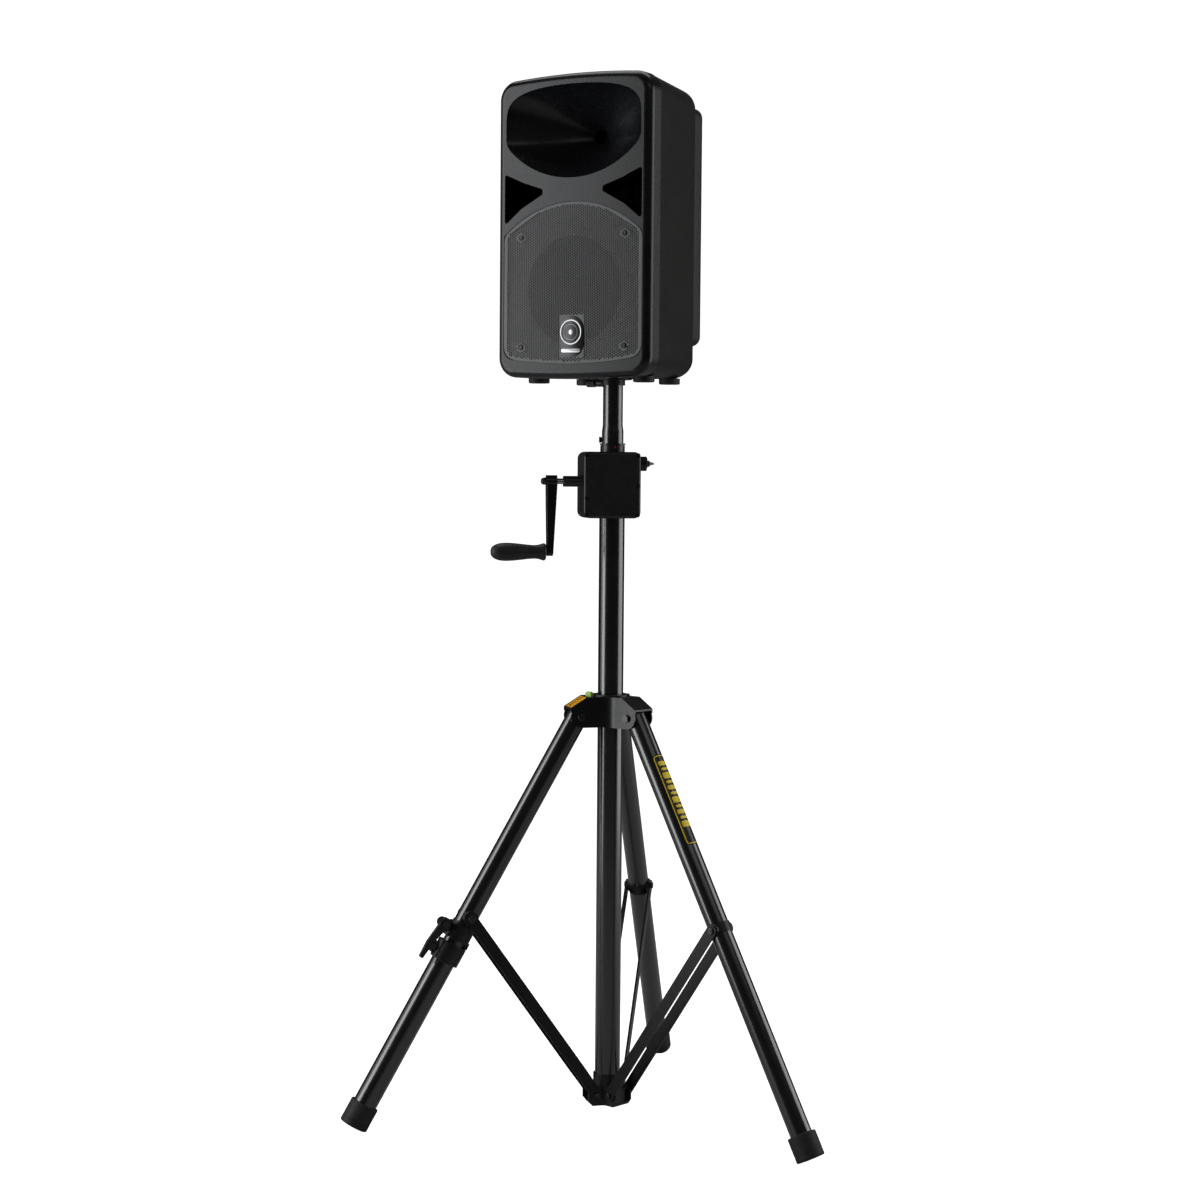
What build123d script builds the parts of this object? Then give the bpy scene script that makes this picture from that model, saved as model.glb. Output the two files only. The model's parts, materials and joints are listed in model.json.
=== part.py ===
from build123d import *
import os
from math import sin, cos, tan, radians, degrees, pi, atan2, sqrt, asin

os.makedirs("parts", exist_ok=True)

# Loudspeaker on a crank-up tripod stand.  Millimetres, +Z up, floor at z = 0.
# The loudspeaker faces -Y.  (AX, AY) is where the mast axis stands, so that the
# whole object's box is centred on the origin.
AX, AY = -71.36, -45.34

# ---------------------------------------------------------------- stand dims
MAST_R, MAST_RI = 22.5, 20.0           # outer mast tube, 45 mm
MAST_Z0, MAST_Z1 = 24.0, 1177.0
POLE_R, POLE_RI = 19.0, 17.0           # sliding inner tube, 38 mm
POLE_Z0, POLE_Z1 = 300.0, 1213.0
TOP_R, TOP_Z = 17.5, 1386.0            # 35 mm top pole
LEG_AZ = {"right": 78.4, "left": -41.6, "back": 198.4}
LEG_TILT = 29.64                       # from vertical
LEG_RC, LEG_ZC = 60.5, 712.0           # leg pivot
LEG_R, LEG_WALL = 19.0, 1.5
LEG_END = 808.0                        # end of the foot cap along the leg
BRACE_A = 398.9                        # brace pivot along the leg
HUB_R, HUB_Z = 25.5, 38.0              # brace pivot at the hub
BAR_IN, BAR_T, BAR_W = 20.65, 3.5, 20.0
BAR_IN_LEFT = 27.0                     # the left bars step out past the clamp
FOOT_R, FOOT_L = 24.8, 43.0
SLEEVE_R, SLEEVE_RI, SLEEVE_A0 = 21.2, 19.1, 452.0
# gearbox
GB_AZ = 41.4
GB_T0, GB_T1 = -58.6, 42.4             # across
GB_U0, GB_U1, GB_US = -27.0, 49.0, 40.0
GB_Z0, GB_Z1 = 1061.0, 1177.0
GEAR_M = 1.5
PIN_U, CRANK_Z = 27.8, 1125.0
PIN_Z = CRANK_Z - 24.15
PINION_N = 14
RACK_U = PIN_U - GEAR_M * PINION_N / 2 - 0.1
ARM_L = 123.0
# ---------------------------------------------------------------- speaker dims
SP_Y0, SP_YS, SP_Y1, SP_Y2 = -140.0, -105.0, 92.0, 158.0
SP_ZB, SP_ZT = 1306.0, 1810.0          # bottom and top at the sides
SP_CROWN_T, SP_CROWN_B = 8.0, 5.0
SP_HW0, SP_HW1 = 152.5, 108.0
WOOF_Z, HORN_Z, THROAT_Y = 1452.0, 1720.0, -47.0
MOD_HW, MOD_Z0, MOD_Z1 = 94.0, 1366.0, 1786.0

parts = {}


def u(az):
    a = radians(az)
    return Vector(sin(a), -cos(a), 0)


def t(az):
    a = radians(az)
    return Vector(cos(a), sin(a), 0)


def rz(az, off=0.0):
    """Sketch plane of a leg: x is outward, y is up, and z is -t."""
    return Plane(origin=t(az) * off, x_dir=u(az), z_dir=t(az) * -1)


def legp(az):
    """Frame on a leg's pivot: x across, y outward and up, z down the leg."""
    th = radians(LEG_TILT)
    o = u(az) * LEG_RC + Vector(0, 0, LEG_ZC)
    return Plane(origin=o, x_dir=t(az), z_dir=u(az) * sin(th) + Vector(0, 0, -cos(th)))


def gbp(z=0.0, off=0.0):
    """Gearbox frame: x across (t), y up, z towards the front (u)."""
    return Plane(origin=u(GB_AZ) * off + Vector(0, 0, z), x_dir=t(GB_AZ), z_dir=u(GB_AZ))


def cyl(r, z0, z1, x=0, y=0):
    return Pos(x, y, (z0 + z1) / 2) * Cylinder(r, z1 - z0)


def rod(pl, r, a0, a1, x=0, y=0):
    """Cylinder along a plane's z."""
    return pl * Pos(x, y, (a0 + a1) / 2) * Cylinder(r, a1 - a0)


def across(pl, r, x0, x1, y=0, z=0):
    """Cylinder along a plane's x."""
    return pl * Pos((x0 + x1) / 2, y, z) * Rot(0, 90, 0) * Cylinder(r, x1 - x0)


def brick(pl, x0, x1, y0, y1, z0, z1):
    return pl * Pos((x0 + x1) / 2, (y0 + y1) / 2, (z0 + z1) / 2) * Box(x1 - x0, y1 - y0, z1 - z0)


def poly(pl, pts, d0, d1):
    """Prism on a plane from d0 to d1 along its z."""
    f = pl.offset(d0) * make_face(Polyline(*pts, close=True))
    return extrude(f, amount=d1 - d0, dir=pl.z_dir)


def fil(s, edges, r):
    for k in (1.0, 0.7, 0.45, 0.2):
        try:
            q = fillet(edges, r * k)
            if q.is_valid:
                return q
        except Exception:
            pass
    return s


def solids(*a):
    out = []
    for s in a:
        out += list(s.solids()) if hasattr(s, "solids") else list(s)
    return Compound(children=[x for x in out])


W = Plane.XY

# ================================================================= mast (root)
mast = cyl(MAST_R, MAST_Z0, MAST_Z1) - cyl(MAST_RI, MAST_Z0 - 1, MAST_Z1 + 1)
mast -= brick(gbp(), -10, 10, PIN_Z - 17, PIN_Z + 17, 5, 40)
mast -= across(gbp(), 3.4, 10, 30, y=1156.6)
parts["mast_tube"] = mast

# lower hub: sleeve with three channel arms
hub = cyl(25.3, 18, 72)
for az in LEG_AZ.values():
    arm = poly(rz(az), [(0, 18), (33, 18), (40, 27), (40, 44), (33, 53), (0, 53)], -20.2, 20.2)
    hub += arm
hub -= cyl(MAST_R, 24, 80)
hub -= cyl(16, 10, 30)
for az in LEG_AZ.values():
    hub -= brick(rz(az), 32.5, 42, 24, 47, -16.5, 16.5)
    hub -= across(Plane(origin=u(az) * HUB_R + Vector(0, 0, HUB_Z), x_dir=t(az), z_dir=(0, 0, 1)), 2.6, -30, 30)
hub -= cyl(25.4, 68.5, 70) - cyl(24.6, 68, 71)
parts["lower_hub"] = hub

pins = []
for az in LEG_AZ.values():
    pl = Plane(origin=u(az) * HUB_R + Vector(0, 0, HUB_Z), x_dir=t(az), z_dir=(0, 0, 1))
    p = across(pl, 2.6, -26.6, 26.6)
    for s in (-1, 1):
        h = across(pl, 5.2, min(s * 24.5, s * 27.6), max(s * 24.5, s * 27.6))
        h = fil(h, h.edges().filter_by(GeomType.CIRCLE), 1.2)
        p += h
    pins.append(p)
parts["hub_pins"] = solids(*pins)

# gearbox: rear housing and front cover
Hx = (GB_T0 + GB_T1) / 2
Hz = (GB_Z0 + GB_Z1) / 2


def gb_block(u0, u1, inset, r):
    w, h = GB_T1 - GB_T0 - 2 * inset, GB_Z1 - GB_Z0 - 2 * inset
    f = gbp(0, u0) * Pos(Hx, Hz) * RectangleRounded(w, h, r)
    return extrude(f, amount=u1 - u0, dir=u(GB_AZ))


hs = gb_block(GB_U0, GB_US, 0, 12)
hs = fil(hs, hs.faces().sort_by(Axis((0, 0, 0), tuple(u(GB_AZ))))[0].edges(), 6)
hs -= gb_block(GB_U0 + 2.6, GB_US + 1, 2.6, 9.4)
hs += across(gbp(), 9.5, -91.5, GB_T0 + 1, y=CRANK_Z, z=PIN_U)            # crank bearing boss
hs += across(gbp(), 12.0, GB_T0 - 2.5, GB_T0 + 1, y=CRANK_Z, z=PIN_U)
hs += across(gbp(), 8.0, GB_T1 - 1, 48.4, y=1156.6)                        # lock bushing
hs += across(gbp(), 9.0, GB_T1 - 8, GB_T1 - 1, y=CRANK_Z, z=PIN_U)
hs += across(gbp(), 9.0, GB_T0 + 1, GB_T0 + 6.4, y=PIN_Z, z=PIN_U)
for (x, z) in ((GB_T1 - 6, 1170.5), (GB_T1 - 6, 1117.5), (GB_T1 - 6, 1067.5),
               (GB_T0 + 6, 1170.5), (GB_T0 + 6, 1096.0), (GB_T0 + 6, 1067.5)):
    hs += brick(gbp(), x - 4, x + 4, z - 4, z + 4, 26, GB_US)
hs -= cyl(MAST_R, 1050, 1190)
hs -= across(gbp(), 5.08, -95, GB_T1 - 2, y=CRANK_Z, z=PIN_U)
hs -= across(gbp(), 4.08, GB_T0 + 2, 0, y=PIN_Z, z=PIN_U)
hs -= across(gbp(), 3.08, 20, 60, y=1156.6)
GB_SCREWS = ((GB_T1 - 6, 1170.5), (GB_T1 - 6, 1117.5), (GB_T1 - 6, 1067.5),
             (GB_T0 + 6, 1170.5), (GB_T0 + 6, 1096.0), (GB_T0 + 6, 1067.5))
for (x, z) in GB_SCREWS:
    hs -= rod(gbp(), 2.0, 26, GB_US + 1, x=x, y=z)
parts["gearbox_housing"] = hs

cv = gb_block(GB_US + 0.0, GB_U1, 0, 12)
cv = fil(cv, cv.faces().sort_by(Axis((0, 0, 0), tuple(u(GB_AZ))))[-1].edges(), 5)
cv -= gb_block(GB_US - 1, GB_U1 - 2.6, 2.6, 9.4)
for (x, z) in GB_SCREWS:
    cv += rod(gbp(), 4.6, GB_US, GB_U1 - 1, x=x, y=z)
    cv -= rod(gbp(), 2.2, GB_US - 1, GB_U1 + 1, x=x, y=z)
    cv -= rod(gbp(), 4.2, GB_U1 - 3.0, GB_U1 + 1, x=x, y=z)
parts["gearbox_cover"] = cv
scr = []
for (x, z) in GB_SCREWS:
    s = rod(gbp(), 2.0, 34, GB_U1 - 2.5, x=x, y=z) + rod(gbp(), 3.9, GB_U1 - 3.0, GB_U1 - 0.7, x=x, y=z)
    s -= brick(gbp(), x - 2.2, x + 2.2, z - 0.5, z + 0.5, GB_U1 - 1.9, GB_U1)
    s -= brick(gbp(), x - 0.5, x + 0.5, z - 2.2, z + 2.2, GB_U1 - 1.9, GB_U1)
    scr.append(s)
parts["gearbox_screws"] = solids(*scr)

gb = cyl(21.6, GB_Z1, 1188.6)
gb = fil(gb, gb.faces().sort_by(Axis.Z)[-1].edges(), 1.2)
gb -= cyl(19.1, 1170, 1195)
parts["guide_bush"] = gb

# ================================================================= collar
EAR_O, EAR_T = 23.6, 2.6
Z_C0, Z_C1 = 693.0, 747.0


def star(off, z0, z1, rad):
    """Three-armed plan: arm half width off, long arms, big inner bends."""
    s = None
    for az in LEG_AZ.values():
        b = brick(Plane(origin=(0, 0, 0), x_dir=u(az), z_dir=(0, 0, 1)), 0, 110, -off, off, z0, z1)
        s = b if s is None else s + b
    ed = [e for e in s.edges().filter_by(Axis.Z) if sqrt(e.center().X ** 2 + e.center().Y ** 2) < 60]
    return fillet(ed, rad)


outer = star(EAR_O, Z_C0, Z_C1, 34)
inner = star(EAR_O - EAR_T, Z_C0 - 5, Z_C1 - 3.0, 34 + EAR_T)
SLO = [(48, 747), (79, 728)]
prof = None
for az in LEG_AZ.values():
    pts = [(-5, Z_C0), (58, Z_C0), (58, 720), (79, 720), (79, 728), (48, 747), (-5, 747)]
    p = poly(rz(az), pts, -30, 30)
    p += across(Plane(origin=u(az) * LEG_RC + Vector(0, 0, LEG_ZC), x_dir=t(az), z_dir=(0, 0, 1)), 18.5, -30, 30)
    prof = p if prof is None else prof + p
prof = prof & brick(W, -200, 200, -200, 200, Z_C0 + 0.2, Z_C1)
shell = (outer & prof) - inner
for az in LEG_AZ.values():
    # sloping roof of each arm
    k = 2.6 / cos(atan2(19, 31))
    shell += poly(rz(az), [(47, 747.6 - 0), (79, 728), (79, 728 - k), (47, 747.6 - k)], -EAR_O, EAR_O) & \
        poly(rz(az), [(0, 600), (79, 600), (79, 728), (48, 747), (0, 747)], -30, 30)
shell -= cyl(26.8, 600, 800)
BAZ = -101.65                       # lock knob azimuth, behind the left arm
kp = Plane(origin=(0, 0, 722), x_dir=u(BAZ), z_dir=(0, 0, 1))
for az in LEG_AZ.values():
    shell -= across(Plane(origin=u(az) * LEG_RC + Vector(0, 0, LEG_ZC), x_dir=t(az), z_dir=(0, 0, 1)), 4.0, -40, 40)
shell += across(kp, 8.0, 26.0, 34.0)
shell -= across(kp, 4.08, 15, 60)
shell -= cyl(26.8, 600, 800)
parts["collar_bracket"] = shell

cb = cyl(26.8, 699, 747) + cyl(33, 747, 750)
cb = fil(cb, cb.faces().sort_by(Axis.Z)[-1].edges(), 1.4)
cb -= cyl(22.6, 690, 760)
cb -= across(kp, 4.08, 15, 60)
parts["collar_bush"] = cb

bolts = []
for az in LEG_AZ.values():
    pl = Plane(origin=u(az) * LEG_RC + Vector(0, 0, LEG_ZC), x_dir=t(az), z_dir=(0, 0, 1))
    b = across(pl, 4.0, -EAR_O - 1, EAR_O + 1)
    hd = across(pl, 6.6, EAR_O, EAR_O + 3.4)
    hd = fil(hd, hd.edges().filter_by(GeomType.CIRCLE), 1.5)
    hx = pl * Pos(-EAR_O - 2.4, 0, 0) * Rot(0, 90, 0) * extrude(RegularPolygon(6.8, 6), amount=2.4, both=True)
    bolts.append(b + hd + hx)
parts["leg_pivot_bolts"] = solids(*bolts)

# spirit level: small block with a vial, on the collar between the arms
lv = Plane(origin=(0, 0, 750), x_dir=u(-14), z_dir=(0, 0, 1))
LEVEL_POS = (u(-14) * 33.0 + t(-14) * -18.0)
lvp = Plane(origin=(LEVEL_POS.X, LEVEL_POS.Y, 747.0), x_dir=t(-14), z_dir=(0, 0, 1))
lb = brick(lvp, -8, 8, -5.5, 5.5, 0, 5.5)
lb = fil(lb, lb.edges().filter_by(Axis.Z), 2.5)
lb -= cyl(33.3, 740, 760) & brick(W, -300, 300, -300, 300, 746, 751)
lb += brick(lvp, -5.5, 5.5, -4.0, 1.0, 5.0, 7.5)
parts["spirit_level"] = lb

# collar lock: stud and knob on the bracket's rear face
st = across(kp, 4.0, 23.3, 40)
kn = across(kp, 14.0, 38, 52)
for i in range(5):
    a = radians(72 * i + 18)
    kn -= across(kp, 5.0, 36, 54, y=17.5 * cos(a), z=17.5 * sin(a))
kn = fil(kn, kn.faces().sort_by(Axis((0, 0, 0), tuple(u(BAZ))))[-1].edges(), 1.5)
parts["collar_lock_knob"] = kn + st

# ================================================================= legs
for side, az in LEG_AZ.items():
    pl = legp(az)
    L1 = LEG_END - 4.0 if side != "left" else 640.0
    keep = brick(pl, -30, 30, -30, 30, 0, 900) + across(pl, LEG_R - 0.1, -30, 30)
    tube = rod(pl, LEG_R, -LEG_R, L1) & keep
    tube -= rod(pl, LEG_R - LEG_WALL, -10, L1 + 5)
    tube -= across(pl, 4.08, -40, 40)
    hwp = 20.2 if side != "left" else BAR_IN_LEFT - 0.45
    pad = across(pl, 12.5, -hwp, hwp, z=BRACE_A) - rod(pl, LEG_R, BRACE_A - 40, BRACE_A + 40)
    strap = rod(pl, 20.2, BRACE_A - 9, BRACE_A + 9) - rod(pl, LEG_R, BRACE_A - 40, BRACE_A + 40)
    parts["leg_%s_tube" % side] = tube
    if side == "left":
        parts["leg_%s_saddle" % side] = solids(pad)
    else:
        parts["leg_%s_saddle" % side] = strap + pad
    # foot: rubber cap cut flat by the floor
    fr = FOOT_R if side != "left" else FOOT_R + 0.6
    foot = rod(pl, fr, LEG_END - FOOT_L, LEG_END)
    rim = foot.faces().sort_by(Axis((0, 0, 0), tuple(pl.z_dir)))
    foot = fil(foot, rim[0].edges(), 2.0)
    foot = fil(foot, foot.faces().sort_by(Axis((0, 0, 0), tuple(pl.z_dir)))[-1].edges(), 2.5)
    foot -= rod(pl, (SLEEVE_R if side == "left" else LEG_R), LEG_END - FOOT_L - 5, LEG_END - 4.0)
    foot -= rod(pl, fr + 2, LEG_END - 12, LEG_END - 10.8) - rod(pl, fr - 0.9, LEG_END - 20, LEG_END)
    foot &= brick(W, -900, 900, -900, 900, 0, 200)
    parts["leg_%s_foot" % side] = foot

# levelling extension on the left leg
pl = legp(LEG_AZ["left"])
sl = rod(pl, SLEEVE_R, SLEEVE_A0, LEG_END - 4.0) - rod(pl, SLEEVE_RI, SLEEVE_A0 - 5, LEG_END)
parts["levelling_sleeve"] = sl

CL_A, CL_N = 428.0, 34.5             # clamp bolt: along the leg, off its axis
g = rod(pl, 24.2, 416.6, 444) + rod(pl, 20.5, 412, 420)
g += rod(pl, 25.8, 440.5, 444)
g += brick(pl, -9, 9, 12, 33, 418, 438)
g += across(pl, 9.0, -9, 9, y=CL_N, z=CL_A)
g += brick(pl, -8, 8, -25.6, -20, 440, 452)                # spine to the lower ring
g -= rod(pl, 19.1, 400, 450)
g -= brick(pl, -1.2, 1.2, 15, 45, 400, 450)
g -= across(pl, 3.2, -12, 12, y=CL_N, z=CL_A)
g -= rod(pl, 25.9, 452.2, 490)
parts["clamp_grip_ring"] = g
b = rod(pl, 26.2, 452.4, 487)
b = fil(b, b.edges().filter_by(GeomType.CIRCLE), 1.6)
b += brick(pl, -8, 8, 18, 31, 461, 482)
b += across(pl, 6.5, -8, 8, y=31.2, z=471.5)
b -= rod(pl, SLEEVE_R, 440, 500)
b -= brick(pl, -1.2, 1.2, 15, 45, 440, 500)
b -= across(pl, 2.6, -12, 12, y=31.2, z=471.5)
parts["clamp_sleeve_ring"] = b
cbolt = across(pl, 2.6, -8.5, 8.5, y=31.2, z=471.5) + across(pl, 4.6, 8.0, 11.0, y=31.2, z=471.5) + \
    across(pl, 4.6, -11.0, -8.0, y=31.2, z=471.5)
pbolt = across(pl, 3.2, -10.5, 23.4, y=CL_N, z=CL_A) + across(pl, 6.0, -12.6, -9.0, y=CL_N, z=CL_A) + \
    across(pl, 5.2, 22.2, 24.4, y=CL_N, z=CL_A)
parts["clamp_bolts"] = solids(cbolt, pbolt)
# lever: hub and a tapering arm
lh = across(pl, 9.6, 9.6, 21.8, y=CL_N, z=CL_A)
lpl = Plane(origin=pl.from_local_coords(Vector(0, 0, 0)), x_dir=pl.x_dir, z_dir=pl.z_dir)
arm = Plane(origin=pl.from_local_coords(Vector(11.2, 0, 0)), x_dir=pl.y_dir, z_dir=pl.x_dir)
# arm plane: x is the leg's outward normal, z is across, so y is down the leg
ysign = 1 if (arm.y_dir.dot(pl.z_dir) > 0) else -1
ap = [(CL_N - 8, CL_A), (CL_N + 9, CL_A - 3), (CL_N + 14.5, CL_A + 40), (CL_N + 13.6, CL_A + 70), (CL_N + 6.0, CL_A + 70.5), (CL_N + 2.0, CL_A + 38)]
ar = extrude(arm * make_face(Polyline(*[(x, ysign * y) for x, y in ap], close=True)), amount=9.0, dir=arm.z_dir)
ar = fil(ar, ar.edges(), 2.2)
lev = lh + ar
lev -= across(pl, 3.28, 0, 30, y=CL_N, z=CL_A)
lev -= across(pl, 5.5, 21.0, 30, y=CL_N, z=CL_A)
parts["clamp_lever"] = lev

# ================================================================= braces
th = radians(LEG_TILT)
BR, BZ = LEG_RC + BRACE_A * sin(th), LEG_ZC - BRACE_A * cos(th)
BL = sqrt((BR - HUB_R) ** 2 + (BZ - HUB_Z) ** 2)
ang = degrees(atan2(BZ - HUB_Z, BR - HUB_R))
for side, az in LEG_AZ.items():
    bars, riv = [], []
    top_in = BAR_IN_LEFT if side == "left" else BAR_IN
    for sg in (-1, 1):
        base = rz(az)
        f = Pos((BR + HUB_R) / 2, (BZ + HUB_Z) / 2) * Rot(0, 0, ang) * SlotCenterToCenter(BL, BAR_W)
        bar = extrude(base.offset(-60) * f, amount=120, dir=base.z_dir)
        # strip seen edge-on: along the bar, then across
        e = Plane(origin=u(az) * HUB_R + Vector(0, 0, HUB_Z),
                  x_dir=u(az) * ((BR - HUB_R) / BL) + Vector(0, 0, (BZ - HUB_Z) / BL),
                  z_dir=u(az) * (-(BZ - HUB_Z) / BL) + Vector(0, 0, (BR - HUB_R) / BL))
        yd = 1 if e.y_dir.dot(t(az)) > 0 else -1
        k0, k1 = BAR_IN, top_in
        strip = [(-20, k0), (26, k0), (52, k1), (BL + 20, k1), (BL + 20, k1 + BAR_T), (51, k1 + BAR_T), (25, k0 + BAR_T), (-20, k0 + BAR_T)]
        if k0 == k1:
            strip = [(-20, k0), (BL + 20, k0), (BL + 20, k0 + BAR_T), (-20, k0 + BAR_T)]
        sf = make_face(Polyline(*[(x, sg * yd * y) for x, y in strip], close=True))
        bar &= extrude(e * sf, amount=40, dir=e.z_dir, both=True)
        pl0 = Plane(origin=u(az) * HUB_R + Vector(0, 0, HUB_Z), x_dir=t(az), z_dir=(0, 0, 1))
        plr = Plane(origin=u(az) * BR + Vector(0, 0, BZ), x_dir=t(az), z_dir=(0, 0, 1))
        bar -= across(pl0, 2.68, -60, 60)
        bar -= across(plr, 3.0, -60, 60)
        bars.append(bar)
        a, b2 = top_in, top_in + BAR_T + 0.5
        sh = across(plr, 3.0, min(sg * a, sg * b2), max(sg * a, sg * b2))
        h0, h1 = top_in + BAR_T, top_in + BAR_T + 3.0
        hd = across(plr, 6.4, min(sg * h0, sg * h1), max(sg * h0, sg * h1))
        hd = fil(hd, [x for x in hd.edges().filter_by(GeomType.CIRCLE) if abs((x.center() - u(az) * BR).dot(t(az))) > h0 + 1], 1.4)
        riv.append(sh + hd)
    parts["brace_%s_bars" % side] = solids(*bars)
    parts["brace_%s_rivets" % side] = solids(*riv)

# ================================================================= sliding pole
RP = radians(0)
gz = gbp()
pt = cyl(POLE_R, POLE_Z0, POLE_Z1) - cyl(POLE_RI, POLE_Z0 - 1, POLE_Z1 + 1)
RACK0, RACK1 = PIN_Z - 770.0, PIN_Z + 20.0
pt -= brick(gz, -4.2, 4.2, RACK0, RACK1, 5, 25)
parts["pole_tube"] = pt
RB = 12.2
pitch = pi * GEAR_M
pts = [(RB, RACK0 + 0.0)]
n0 = int((RACK0 - PIN_Z) / pitch) + 1
n1 = int((RACK1 - PIN_Z) / pitch) - 1
add, ded = 0.7 * GEAR_M, 1.15 * GEAR_M
hw = pitch / 4 - 0.12
ta = tan(radians(20))
pts.append((RACK_U - ded, RACK0))
for k in range(n0, n1):
    c = PIN_Z + (k + 0.5) * pitch         # tooth centre: gaps face the pinion's tooth
    pts += [(RACK_U - ded, c - hw - ded * ta), (RACK_U + add, c - hw + add * ta),
            (RACK_U + add, c + hw - add * ta), (RACK_U - ded, c + hw + ded * ta)]
pts += [(RACK_U - ded, RACK1), (RB, RACK1)]
rkp = Plane(origin=(0, 0, 0), x_dir=u(GB_AZ), z_dir=t(GB_AZ) * -1)
rack = extrude(rkp.offset(-4.0) * make_face(Polyline(*pts, close=True)), amount=8.0, dir=rkp.z_dir)
parts["gear_rack"] = rack

ad = cyl(17.0, 1150, POLE_Z1)
ad += Pos(0, 0, POLE_Z1) * revolve(make_face(Plane.XZ * Polyline((0, 0), (19, 0), (17.5, 11), (17.5, TOP_Z - POLE_Z1 - 2), (15.5, TOP_Z - POLE_Z1), (0, TOP_Z - POLE_Z1), close=True)), Axis.Z, 360)
ad -= cyl(13.5, 1140, TOP_Z + 1)
ABZ = 1198.0
cam_r = 31.0                          # the bolt points to -t of azimuth 31
abp = Plane(origin=(0, 0, ABZ), x_dir=t(cam_r), z_dir=(0, 0, 1))
ad -= across(abp, 2.9, -25, 0)
parts["pole_tube"] = parts["pole_tube"] - across(abp, 2.9, -25, 0)
parts["pole_adapter"] = ad
ab = across(abp, 2.9, -22, -13.2) + abp * Pos(-21.6, 0, 0) * Rot(0, 90, 0) * extrude(RegularPolygon(5.0, 6), amount=2.4, both=True)
ab -= cyl(19.0, 1150, 1250) - across(abp, 2.9, -30, 0)
parts["adapter_bolt"] = ab
sr = cyl(22.3, 1188.9, 1191.9) - cyl(19.0, 1180, 1200)
parts["pole_stop_ring"] = sr


# ================================================================= crank train
def gear_face(plane, z, m, phase, addk, dedk=1.2, bl=0.12):
    """Involute spur gear outline; phase is the angle of a tooth's centre."""
    r = m * z / 2
    rb = r * cos(radians(20))
    ra, rf = r + addk * m, r - dedk * m
    inv = tan(radians(20)) - radians(20)
    half = pi / (2 * z) - bl / r
    fl = []
    lo = max(rb, rf)
    for i in range(5):
        rr = lo + (ra - lo) * i / 4
        ph = sqrt(max((rr / rb) ** 2 - 1, 0))
        ivr = ph - atan2(ph, 1)
        fl.append((rr, half + inv - ivr))
    pts = []
    for k in range(z):
        c = phase + 2 * pi * k / z
        left = ([(rf, fl[0][1])] if rf < rb else []) + fl
        for rr, h in left:
            pts.append((rr * cos(c - h), rr * sin(c - h)))
        for rr, h in reversed(left):
            pts.append((rr * cos(c + h), rr * sin(c + h)))
    return plane * make_face(Polyline(*pts, close=True))


def gpl(x, zz):
    """Plane across the gearbox at x: local x is up, local y is towards u."""
    o = t(GB_AZ) * x + u(GB_AZ) * PIN_U + Vector(0, 0, zz)
    return Plane(origin=o, x_dir=(0, 0, 1), z_dir=t(GB_AZ))


G0, G1 = -45.0, -39.0
ys = 1 if gpl(0, 0).y_dir.dot(u(GB_AZ)) > 0 else -1
# crank gear: a gap faces straight down at rest, the wheel's tooth straight up
cs = across(gbp(), 5.0, -104.0, GB_T1 - 2.8, y=CRANK_Z, z=PIN_U)
cg = extrude(gear_face(gpl(G0, CRANK_Z), 12, GEAR_M, pi + pi / 12, 0.8), amount=G1 - G0, dir=t(GB_AZ))
parts["crank_shaft"] = cs + cg + across(gbp(), 6.8, G1, G1 + 4, y=CRANK_Z, z=PIN_U)
pz = across(gbp(), 4.0, GB_T0 + 2.8, 24, y=PIN_Z, z=PIN_U)
pg = extrude(gear_face(gpl(-3.4, PIN_Z), PINION_N, GEAR_M, -ys * pi / 2, 0.8), amount=6.8, dir=t(GB_AZ))
parts["pinion_shaft"] = pz + pg
wh = extrude(gear_face(gpl(G0, PIN_Z), 20, GEAR_M, 0.0, 0.7), amount=G1 - G0, dir=t(GB_AZ))
wh -= across(gbp(), 4.0, G0 - 5, G1 + 5, y=PIN_Z, z=PIN_U)
for i in range(4):
    a = radians(45 + 90 * i)
    wh -= across(gbp(), 2.2, G0 - 5, G1 + 5, y=PIN_Z + 8.4 * cos(a), z=PIN_U + 8.4 * sin(a))
parts["gear_wheel"] = wh

# crank arm, grip spindle, dome nut, grip
cp = gbp(0, PIN_U)
C0 = CRANK_Z
# arm profile seen from the front: x across, y up
apts = [(-122.0, C0), (-103.4, C0), (-103.4, C0 - 9), (-109.6, C0 - ARM_L - 8), (-120.4, C0 - ARM_L - 8), (-122.0, C0 - 9)]
armp = poly(cp, apts, -9.5, 9.5)
# arm width seen from the side tapers to both ends
wpl = Plane(origin=t(GB_AZ) * -130 + u(GB_AZ) * PIN_U, x_dir=u(GB_AZ), z_dir=t(GB_AZ))
sgn = 1 if wpl.y_dir.Z > 0 else -1
wf = make_face(Polyline(*[(x, sgn * y) for x, y in [(-9.6, C0), (9.6, C0), (9.0, C0 - 14), (7.2, C0 - ARM_L + 4), (7.2, C0 - ARM_L), (-7.2, C0 - ARM_L), (-7.2, C0 - ARM_L + 4), (-9.0, C0 - 14)]], close=True))
side = extrude(wpl * wf, amount=40, dir=t(GB_AZ))
armp = armp & (side + across(gbp(), 7.2, -125, -100, y=C0 - ARM_L, z=PIN_U))
armp = fil(armp, armp.edges(), 1.4)
armp += across(gbp(), 10.6, -122.0, -103.4, y=C0, z=PIN_U)
armp -= across(gbp(), 5.0, -110, -100, y=C0, z=PIN_U)
armp -= across(gbp(), 3.5, -130, -100, y=C0, z=PIN_U)
armp += across(gbp(), 4.0, -209, -112, y=C0 - ARM_L, z=PIN_U)
parts["crank_arm"] = armp
parts["crank_shaft"] = parts["crank_shaft"] + across(gbp(), 3.5, -124.5, -103, y=C0, z=PIN_U)
nt = across(gbp(), 6.0, -131.4, -125.0, y=C0, z=PIN_U)
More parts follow.
